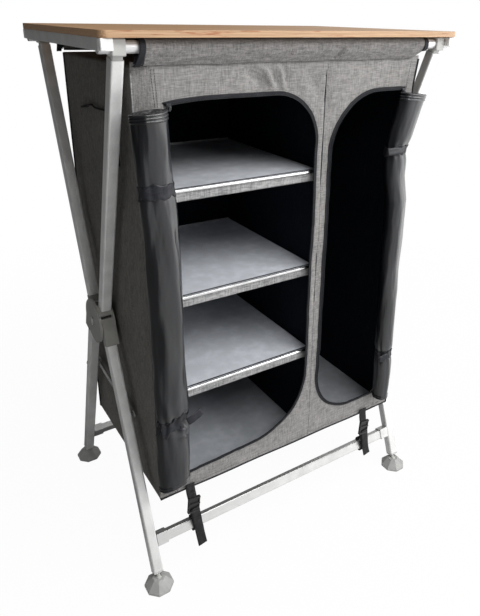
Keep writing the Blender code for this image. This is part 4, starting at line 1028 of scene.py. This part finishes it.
def row_tree(name, shape, finish):
    """A node tree that sets a small shape along a curve at a pitch, turned to follow it."""
    tree = bpy.data.node_groups.new(name, "GeometryNodeTree")
    tree.interface.new_socket("Geometry", in_out="INPUT", socket_type="NodeSocketGeometry")
    for label, value in (("Pitch", 0.002), ("Length", 0.001), ("Width", 0.002), ("Height", 0.001)):
        socket = tree.interface.new_socket(label, in_out="INPUT", socket_type="NodeSocketFloat")
        socket.default_value = value
    tree.interface.new_socket("Geometry", in_out="OUTPUT", socket_type="NodeSocketGeometry")
    inputs = tree.nodes.new("NodeGroupInput").outputs
    spots = add(tree, "GeometryNodeCurveToPoints", {"Curve": inputs["Geometry"], "Length": inputs["Pitch"]},
                mode="LENGTH")
    measures = {"X": inputs["Width"], "Y": inputs["Height"], "Z": inputs["Length"]}
    size = add(tree, "ShaderNodeCombineXYZ", measures).outputs[0]
    if shape == "block":
        part = add(tree, "GeometryNodeMeshCube", {"Size": size}).outputs["Mesh"]
    else:
        ball = add(tree, "GeometryNodeMeshUVSphere", {"Segments": 8, "Rings": 6, "Radius": 0.5})
        part = add(tree, "GeometryNodeTransform", {"Geometry": ball.outputs["Mesh"], "Scale": size}).outputs[0]
    placed = add(tree, "GeometryNodeInstanceOnPoints",
                 {"Points": spots.outputs["Points"], "Instance": part, "Rotation": spots.outputs["Rotation"]})
    real = add(tree, "GeometryNodeRealizeInstances", {"Geometry": placed.outputs["Instances"]})
    finished = add(tree, "GeometryNodeSetMaterial",
                   {"Geometry": real.outputs["Geometry"], "Material": finish})
    out = tree.nodes.new("NodeGroupOutput")
    tree.links.new(finished.outputs["Geometry"], out.inputs["Geometry"])
    return tree


def parts_along(name, points, tree, finish, body, slot_name, *sizes):
    """Set a row tree's parts along a line, at a pitch and of a length, width and height, as one plain mesh."""
    line = line_object(name + "_line", points)
    rows = line.modifiers.new("row", "NODES")
    rows.node_group = tree
    measured = dict(zip(("Pitch", "Length", "Width", "Height"), sizes))
    for item in tree.interface.items_tree:
        if item.item_type == "SOCKET" and item.in_out == "INPUT" and item.name in measured:
            rows[item.identifier] = measured[item.name]
    bpy.context.view_layer.update()
    evaluated = line.evaluated_get(bpy.context.evaluated_depsgraph_get())
    mesh = bpy.data.meshes.new_from_object(evaluated)
    bpy.data.objects.remove(line)
    mesh.name = name
    mesh.materials.clear()
    mesh.materials.append(finish)
    piece = put(name, mesh)
    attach(piece, body)
    return piece


zip_tree = row_tree("zip_teeth", "block", zip_plastic)
stitch_tree = row_tree("stitches", "ball", thread)
trims = []
for name, opening in openings.items():
    for kind, offset, proud, tree, finish, slot_name, sizes in (
            ("zip_teeth_", -0.0018, 0.0013, zip_tree, zip_plastic, "hub_plastic", (0.0024, 0.0013, 0.0030, 0.0011)),
            ("zip_seam_", 0.0068, 0.0001, stitch_tree, thread, "grey_melange", (0.0038, 0.0027, 0.0006, 0.0005)),
            ("tape_seam_", 0.0012, 0.0013, stitch_tree, dark_thread, "black_webbing",
             (0.0034, 0.0024, 0.0005, 0.0004))):
        line = [on_front(x, z, proud) for x, z in zip_line(opening, offset)]
        trims.append(parts_along(kind + name, line, tree, finish, "cupboard", slot_name, *sizes))
    print(name, "zip:", len(trims[-3].data.polygons) // 6, "teeth")

# %% [markdown]
# A slider with its pull sits at the top hinge end of each zip.

# %% Sliders
def solid_block(shape, centre, size, turn=0.0):
    """Add one bevel-ready box to a bmesh."""
    place = Matrix.Translation(centre) @ Matrix.Rotation(turn, 4, "Y") @ Matrix.Diagonal((*size, 1))
    return bmesh.ops.create_cube(shape, size=1, matrix=place)["verts"]


def eased_piece(name, shape, finish, easing, body):
    """An object from a bmesh, with eased edges."""
    mesh = bpy.data.meshes.new(name)
    shape.to_mesh(mesh)
    shape.free()
    mesh.materials.append(finish)
    made = put(name, mesh)
    soften = made.modifiers.new("edges", "BEVEL")
    soften.width = easing
    soften.segments = 2
    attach(made, body)
    return made


def zip_slider(name, opening):
    """A wedge-shaped slider with a bail and a hanging pull tab."""
    x, z = zip_line(opening, -0.0045)[1]
    seat = on_front(x, z, 0.0030)
    shape = bmesh.new()
    solid_block(shape, seat, (0.0080, 0.0034, 0.0095))
    solid_block(shape, seat + Vector((0, -0.0024, 0.0004)), (0.0045, 0.0016, 0.0022))
    solid_block(shape, seat + Vector((0.0004, -0.0036, -0.0030)), (0.0040, 0.0010, 0.0070), 0.35)
    return eased_piece("zip_slider_" + name, shape, zip_plastic, 0.0005, "cupboard")


sliders = [zip_slider(name, opening) for name, opening in openings.items()]

# %% [markdown]
# ## Seams of the front panel
#
# Two stitched lines run down the left edge of the panel, one down its middle strip, one down its right edge and
# one along its hem. A black cord pipes the box's outer edges, and a light grey cord at the top of the left one is a
# painted highlight along that edge.

# %% Stitched lines
def seam_piece(name, ends, finish=thread):
    """A row of stitches down the front panel between two points."""
    (x0, z0), (x1, z1) = ends
    count = max(2, round(math.hypot(x1 - x0, z1 - z0) / 0.004))
    shares = [i / count for i in range(count + 1)]
    line = [on_front(x0 + (x1 - x0) * share, z0 + (z1 - z0) * share, 0.0001) for share in shares]
    sizes = (0.0040, 0.0035, 0.0010, 0.0008)
    return parts_along(name, line, stitch_tree, finish, "cupboard", "grey_melange", *sizes)


seam_top, seam_bend, seam_bottom = top_z - 0.006, 0.930, bottom_z + 0.006
for label, x, low_x in (("outer_left", -0.2716, -0.2670), ("inner_left", -0.2665, -0.2625),
                        ("middle", divider_x, divider_x), ("right", 0.2620, 0.2550)):
    trims.append(seam_piece("panel_seam_" + label, ((x, seam_top), (low_x, seam_bend)), dark_thread))
    trims.append(seam_piece("panel_low_seam_" + label, ((low_x, seam_bend), (low_x, seam_bottom)), dark_thread))
hem_z = bottom_z + 0.009
trims.append(seam_piece("hem_seam", ((left_x + 0.006, hem_z), (right_x - 0.006, hem_z))))


# %% Piping cord
def way_at(line, i):
    """The direction of a line of points at one of them."""
    return (line[min(i + 1, len(line) - 1)] - line[max(i - 1, 0)]).normalized()


def tube_along(name, points, radius, finish, body, slot_name, sides=10):
    """A closed round cord through points."""
    line = [Vector(point) for point in points]
    angles = [2 * math.pi * k / sides for k in range(sides)]
    rings = []
    first = way_at(line, 0).orthogonal()
    for i, point in enumerate(line):
        way = way_at(line, i)
        first = (first - way * first.dot(way)).normalized()
        second = way.cross(first)
        rings.append([point + radius * (math.cos(angle) * first + math.sin(angle) * second)
                      for angle in angles])
    return outward(new_piece(name, *loft(rings), finish, body, slot_name))


def upright_edge(x, y, wobble=0.0, low_z=bottom_z, high_z=top_z):
    """Points up one corner of the box, following the slack wall on the right."""
    count = 90
    spots = []
    for i in range(count + 1):
        z = low_z + 0.001 + (high_z - low_z - 0.002) * i / count
        spots.append((drawn_in(x, z), y + unevenness(z, y, 11, wobble), z))
    return spots


edge_left, edge_right, edge_front = left_x + 0.0003, right_x - 0.0003, front_y - 0.0002
# The light grey cord up the top of the left front edge is a painted highlight on that edge.
highlight_line = upright_edge(edge_left, front_y, 0.0, 0.900, top_z - 0.010)
highlight_line = [(x, y + corner_turn(z), z) for x, y, z in highlight_line]
pipings = [tube_along("painted_highlight_cord", highlight_line, 0.0012, band_cloth, "cupboard", "grey_melange")]
for label, x, y, radius, finish in (("front_left", edge_left, front_y + 0.0012, 0.0012, charcoal),
                                    ("front_right", edge_right, edge_front, 0.0020, binding),
                                    ("rear_left", edge_left, box_back, 0.0020, binding),
                                    ("rear_right", edge_right, box_back, 0.0020, binding)):
    edge_top = turn_start_z if label == "front_left" else top_z
    edge = upright_edge(x, y, 0.0008, bottom_z, edge_top)
    pipings.append(tube_along("piping_" + label, edge, radius, finish, "cupboard", "black_webbing"))
for label, y in (("front", edge_front), ("rear", box_back)):
    low_edge = [(left_x + (right_x - left_x) * i / 60, y, bottom_z + 0.0006 * math.sin(i * 0.35))
                for i in range(61)]
    pipings.append(tube_along("piping_low_" + label, low_edge, 0.0017, binding, "cupboard", "black_webbing"))

# %% [markdown]
# ## Ties round the rolled doors
#
# Each rolled door is held by two ties. A tie is a band of the doors' own coated cloth that follows the roll's
# skin, a hair outside it. Its section is a flat strip with rounded edges, and it puckers a little where it pulls.
# Three of them end in a loose tab.

# %% Bands round the rolls
tie_section = [(-1.0, 0.0002), (-0.98, 0.0011), (-0.80, 0.0016), (-0.40, 0.0013), (0.0, 0.0012), (0.40, 0.0013),
               (0.80, 0.0016), (0.98, 0.0011), (1.0, 0.0002), (0.5, 0.0002), (0.0, 0.0002), (-0.5, 0.0002)]


def tie_band(name, label, level, half_width, tilt, pucker):
    """A band round a roll; tilt raises it on one side."""
    around = 96
    rings = []
    for turn in (2 * math.pi * tick / around for tick in range(around)):
        middle = level + tilt * math.cos(turn + 0.5)
        way = Vector((math.cos(turn), math.sin(turn), 0))
        ring = []
        for share, lift in tie_section:
            slack_edge = 1 + pucker * noise.fractal(way * 2 + Vector((0, 0, level * 9 + share)), 1.0, 2.0, 2)
            wave = pucker * 0.0010 * noise.noise(way * 4 + Vector((0, 0, share * 1.5 + level * 5)))
            z = middle + share * half_width * slack_edge
            ring.append(roll_point(name, turn, z, lift=lift + max(-lift * 0.5, wave)))
        rings.append(ring)
    skin = loft(rings, closed=True)
    return outward(new_piece(f"door_tie_{name}_{label}", *skin, tie_cloth, "cupboard", "coated_door_fabric"))


def ribbon(name, path, across, width, thickness, finish, body, slot_name, wobble=0.0):
    """A closed flat strip along a path; across is its sideways direction."""
    spots = [Vector(spot) for spot in path]
    edge = [(-1.0, 0.0), *((u, 0.5) for u in (-0.97, -0.5, 0.0, 0.5, 0.97)),
            (1.0, 0.0), *((u, -0.5) for u in (0.97, 0.5, 0.0, -0.5, -0.97))]
    rings = []
    for i, spot in enumerate(spots):
        way = way_at(spots, i)
        sideways = Vector(across)
        sideways = (sideways - way * sideways.dot(way)).normalized()
        normal = way.cross(sideways)
        ring = []
        for u, v in edge:
            cup = wobble * noise.noise(Vector((u * 1.3, i * 0.12, spot.z * 30)))
            ring.append(spot + sideways * (u * width / 2) + normal * (v * thickness + cup))
        rings.append(ring)
    return outward(new_piece(name, *loft(rings), finish, body, slot_name))


left_low, left_up = tie_levels["left"]
right_low, right_up = tie_levels["right"]
ties = [
    tie_band("left", "upper", left_up, 0.0105, 0.0005, 0.5),
    tie_band("left", "lower", left_low, 0.0100, 0.0050, 1.6),
    tie_band("right", "upper", right_up, 0.0080, 0.0020, 0.6),
    tie_band("right", "lower", right_low, 0.0085, 0.0030, 0.6),
]
tab_corners = {
    "left_lower": (left_low, ((-0.252, -0.2350, 0.000), (-0.241, -0.2355, 0.004), (-0.230, -0.2340, 0.007),
                                   (-0.222, -0.2320, 0.010))),
    "right_upper": (right_up, ((0.226, -0.2345, 0.001), (0.214, -0.2340, 0.001), (0.202, -0.2330, 0.001),
                                    (0.190, -0.2310, 0.001))),
    "right_lower": (right_low, ((0.246, -0.2355, -0.001), (0.238, -0.2350, -0.002), (0.231, -0.2340, -0.004),
                                    (0.225, -0.2325, -0.005))),
}
for label, (level, corners) in tab_corners.items():
    path = smooth_path([(x, y, level + rise) for x, y, rise in corners], 18)
    ties.append(ribbon("tie_tab_" + label, path, (0.1, 0.25, 1.0), 0.0140, 0.0012, tie_cloth, "cupboard",
                       "coated_door_fabric", 0.0010))
print("ties:", len(ties))

# %% [markdown]
# ## Webbing straps
#
# Four straps hold the box down. Each is sewn to the box's lower edge, runs into a buckle, goes round a bottom rail
# and comes back through the buckle, where its end hangs loose. The webbing is a flat strip along a curve. The
# buckle is a moulded frame with three bars.

# %% Straps and buckles
def buckle(name, centre, lean, body):
    """A moulded frame with cross bars, turned to lie along the strap."""
    shape = bmesh.new()
    bars = ((0.0155, 0.0044), (0.0020, 0.0038), (-0.0155, 0.0040))
    for x in (-0.0112, 0.0112):
        solid_block(shape, Vector((x, 0, 0)), (0.0034, 0.0052, 0.0350))
    for z, height in bars:
        solid_block(shape, Vector((0, -0.0006, z)), (0.0258, 0.0064, height))
    solid_block(shape, Vector((0, 0.0008, 0.0085)), (0.0195, 0.0030, 0.0100))
    solid_block(shape, Vector((0, 0.0008, -0.0070)), (0.0195, 0.0026, 0.0130))
    shape.transform(Matrix.Translation(centre) @ lean)
    return eased_piece(name, shape, buckle_plastic, 0.0008, body)


buckle_z, strap_width, strap_drift = 0.146, 0.0200, 0.125
round_the_rail = [(0.0108, 0.0040), (0.0106, -0.0070), (0.0060, -0.0165), (-0.0060, -0.0140), (-0.0112, -0.0020),
                  (-0.0080, 0.0130), (0.0020, 0.0180)]
for place, way in (("front", -1), ("rear", 1)):
    _, rail_y, rail_z = middle_of(place + "_bottom_rail")
    outer_y = rail_y + way * 0.0125
    edge_y = front_y - 0.0030 if way < 0 else box_back + 0.0030
    body = "rear_top_frame" if place == "front" else "front_top_frame"
    for name, x, tail_end in (("left", -0.2365, 0.041), ("right", 0.2190, 0.068)):
        label = f"{place}_{name}"

        def at(z, proud=0.0):
            """A point on the strap's line at a height."""
            y = edge_y + (outer_y - edge_y) * limited((bottom_z - z) / (bottom_z - rail_z))
            return Vector((x + strap_drift * max(0.0, bottom_z - z), y + way * proud, z))

        def web(kind, path, steps, across, thickness, wobble=0.0):
            """One length of webbing through a few points."""
            ribbon(kind + label, smooth_path(path, steps), across, strap_width, thickness, webbing,
                                 body, "black_webbing", wobble)

        upper = [at(bottom_z + rise, 0.0012) for rise in (0.012, 0.004, -0.006, -0.014)]
        web("strap_", [*upper, at(buckle_z + 0.013, 0.0012)], 30, (1, 0, 0), 0.0016, 0.0006)
        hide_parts(label.replace("_", "_strap_"))
        loop = [(at(rail_z).x, rail_y + way * out, rail_z + rise) for out, rise in round_the_rail]
        web("strap_loop_", [at(buckle_z - 0.010, -0.0010), at(rail_z + 0.022, -0.0016), *loop,
                            at(rail_z + 0.030, -0.0048), at(buckle_z - 0.012, -0.0038)], 80, (1, 0, 0), 0.0014)
        web("strap_tail_", [at(buckle_z - 0.008, 0.0036), at(rail_z + 0.016, 0.0030), at(rail_z - 0.004, 0.0030),
                            at((rail_z + tail_end) / 2 + 0.002, 0.0042), at(tail_end, 0.0075)],
            36, (1, 0.06, 0.10), 0.0016, 0.0008)
        slope = math.atan2(outer_y - edge_y, bottom_z - rail_z)
        lean = Matrix.Rotation(slope, 4, "X") @ Matrix.Rotation(math.atan(strap_drift), 4, "Y")
        if way > 0:
            lean = lean @ Matrix.Rotation(math.pi, 4, "Z")
        buckle("buckle_" + label, at(buckle_z, 0.0012), lean, body)

# %% [markdown]
# ## Shelf trims
#
# A cloth band hangs below each shelf's front rod, a dark strip behind the rod is painted shadow in the gap there,
# narrow tapes hem both sides, and a thin steel rod stiffens the rear edge.

# %% Bands, tapes and rear rods
def flat_dark_strip(name, low, high, body):
    """A flat dark strip that fills a small box; used for hem tapes and for painted shadow in a gap."""
    shape = bmesh.new()
    size = [b - a for a, b in zip(low, high)]
    solid_block(shape, Vector([(a + b) / 2 for a, b in zip(low, high)]), size)
    return eased_piece(name, shape, binding, 0.3 * min(size), body)


hem_width = 0.0012
shelf_trims = []
for number, body in ((1, "lower_shelf"), (2, "middle_shelf"), (3, "upper_shelf")):
    shelf_low, shelf_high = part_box(f"shelf_{number}")
    rod_low, rod_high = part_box(f"shelf_{number}_rod")
    side_low, side_high = shelf_low[0] + 0.0006, shelf_high[0] - 0.0006
    band_top, band_bottom, shelf_top = rod_low[2] - 0.0002, shelf_low[2] + 0.0004, shelf_high[2]

    def band_point(across, up):
        """The band sags and ripples a little between its ends."""
        x = side_low + (side_high - side_low) * across
        ripple = 0.0007 * noise.noise(Vector((x * 26, up * 0.6, number)))
        return (x, shelf_low[1] - 0.0012 + ripple, band_top + (band_bottom - band_top) * (1 - up))

    points, faces = grid(120, 6, band_point)
    band = new_piece(f"shelf_band_{number}", points, faces, band_cloth, body, "grey_melange")
    thicken(band, 0.0008)
    shelf_trims.append(band)
    # The dark strip behind the front rod is painted shadow in the gap between rod and shelf.
    shelf_trims.append(flat_dark_strip(f"shelf_gap_painted_shadow_{number}", (side_low, rod_high[1] - 0.0002, shelf_top - 0.0002),
                                 (side_high, rod_high[1] + 0.0026, shelf_top + 0.0007), body))
    rod_line = [(x, shelf_high[1] - 0.0030, shelf_top + 0.0024) for x in (side_low + 0.004, side_high - 0.004)]
    rear_rod = tube_along(f"shelf_rear_rod_{number}", rod_line, 0.0022, rear_rod_steel, body, "steel", 14)
    shelf_trims.append(rear_rod)
    for label, x in (("left", side_low), ("right", side_high - hem_width)):
        shelf_trims.append(flat_dark_strip(f"shelf_hem_{label}_{number}", (x, shelf_low[1] + 0.004, shelf_top),
                                     (x + hem_width, shelf_high[1] - 0.006, shelf_top + 0.0008), body))
print("shelf trims:", len(shelf_trims))

# %% [markdown]
# ## Bindings and cords at the sleeves
#
# A black tape binds both ends of each sleeve, and a cord is knotted at the top of each side panel and runs down
# it in a loose curve.

# %% Sleeve end bindings
hoop_steps = 48
hoop_section = smooth_path([(depth, height, 0) for depth, height in drop_section], hoop_steps)
hoop_width, hoop_ease = 0.0096, 1.07
bindings = []
for place, way in (("front", -1), ("rear", 1)):
    _, rail_y, rail_z = middle_of(place + "_top_rail")
    cloth_low, cloth_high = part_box(place + "_rail_sleeve")
    body = place + "_top_frame"
    for label, x in (("left", cloth_low[0] - 0.0078), ("right", cloth_high[0] + 0.0040)):

        def band_spot(across, round_it):
            """Across the band from its outer edge, and round the sleeve's section."""
            depth, height, _ = hoop_section[round(round_it * hoop_steps)]
            fall = max(0.0, -height / 0.026)
            if label == "left":
                along_x = x + hoop_width * across - 0.007 * fall ** 1.5
            else:
                along_x = x - hoop_width * across
                height *= 1 - flatter_right_end * fall
            return (along_x, rail_y - way * hoop_ease * depth, rail_z + hoop_ease * height)

        points, faces = grid(6, hoop_steps, band_spot)
        hoop = new_piece(f"sleeve_binding_{place}_{label}", points, faces, binding, body, "black_webbing")
        thicken(hoop, 0.0012)
        bindings.append(hoop)

# %% Cord on the side panels
off_wall = 0.0038
cord_corners = [(0.0593, 0.9023), (0.0259, 0.9074), (0.0020, 0.9130), (-0.0239, 0.9104), (-0.0649, 0.9125),
                (-0.0936, 0.9123), (-0.1156, 0.9083), (-0.1251, 0.9003), (-0.1203, 0.8886), (-0.1190, 0.8300)]
cord_paths = {"left": [(left_x - off_wall, y, z) for y, z in cord_corners],
              "right": [(drawn_in(right_x, z) + off_wall, y, z) for y, z in cord_corners]}
side_cords = [tube_along("side_cord_" + label, smooth_path(path, 60), 0.0018, binding, "cupboard",
                         "black_webbing", 8) for label, path in cord_paths.items()]
print("bindings and cords:", len(bindings), len(side_cords))

# %% [markdown]
# ## Screws
#
# Four small domed screws hold each angle rail under the board. One tree sets a row of flattened balls along a
# line.

# %% Rows of screws
screw_tree = row_tree("screws", "ball", steel)
screws = []
for label in ("left", "right"):
    rail = "side_rail_" + label
    rail_low, rail_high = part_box(rail)
    first_y, last_y = rail_low[1] + 0.030, rail_high[1] - 0.030
    line = [(middle_of(rail)[0], y, rail_low[2] - 0.0002) for y in (first_y, last_y)]
    sizes = ((last_y - first_y) / 3.001, 0.0070, 0.0070, 0.0030)
    screws.append(parts_along("rail_screws_" + label, line, screw_tree, steel, "table_top", "steel", *sizes))
print("screw rows:", len(screws))

for name, wall in walls.items():
    sizes = sorted(wall.dimensions)[1:]

# %% Give each soft piece its own mesh
sewn_on = [*tapes.values(), *trims, *sliders, *pipings, *ties, *side_cords]
for soft in [front_cloth, *walls.values(), *rolls.values(), *sewn_on]:
    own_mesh(soft)
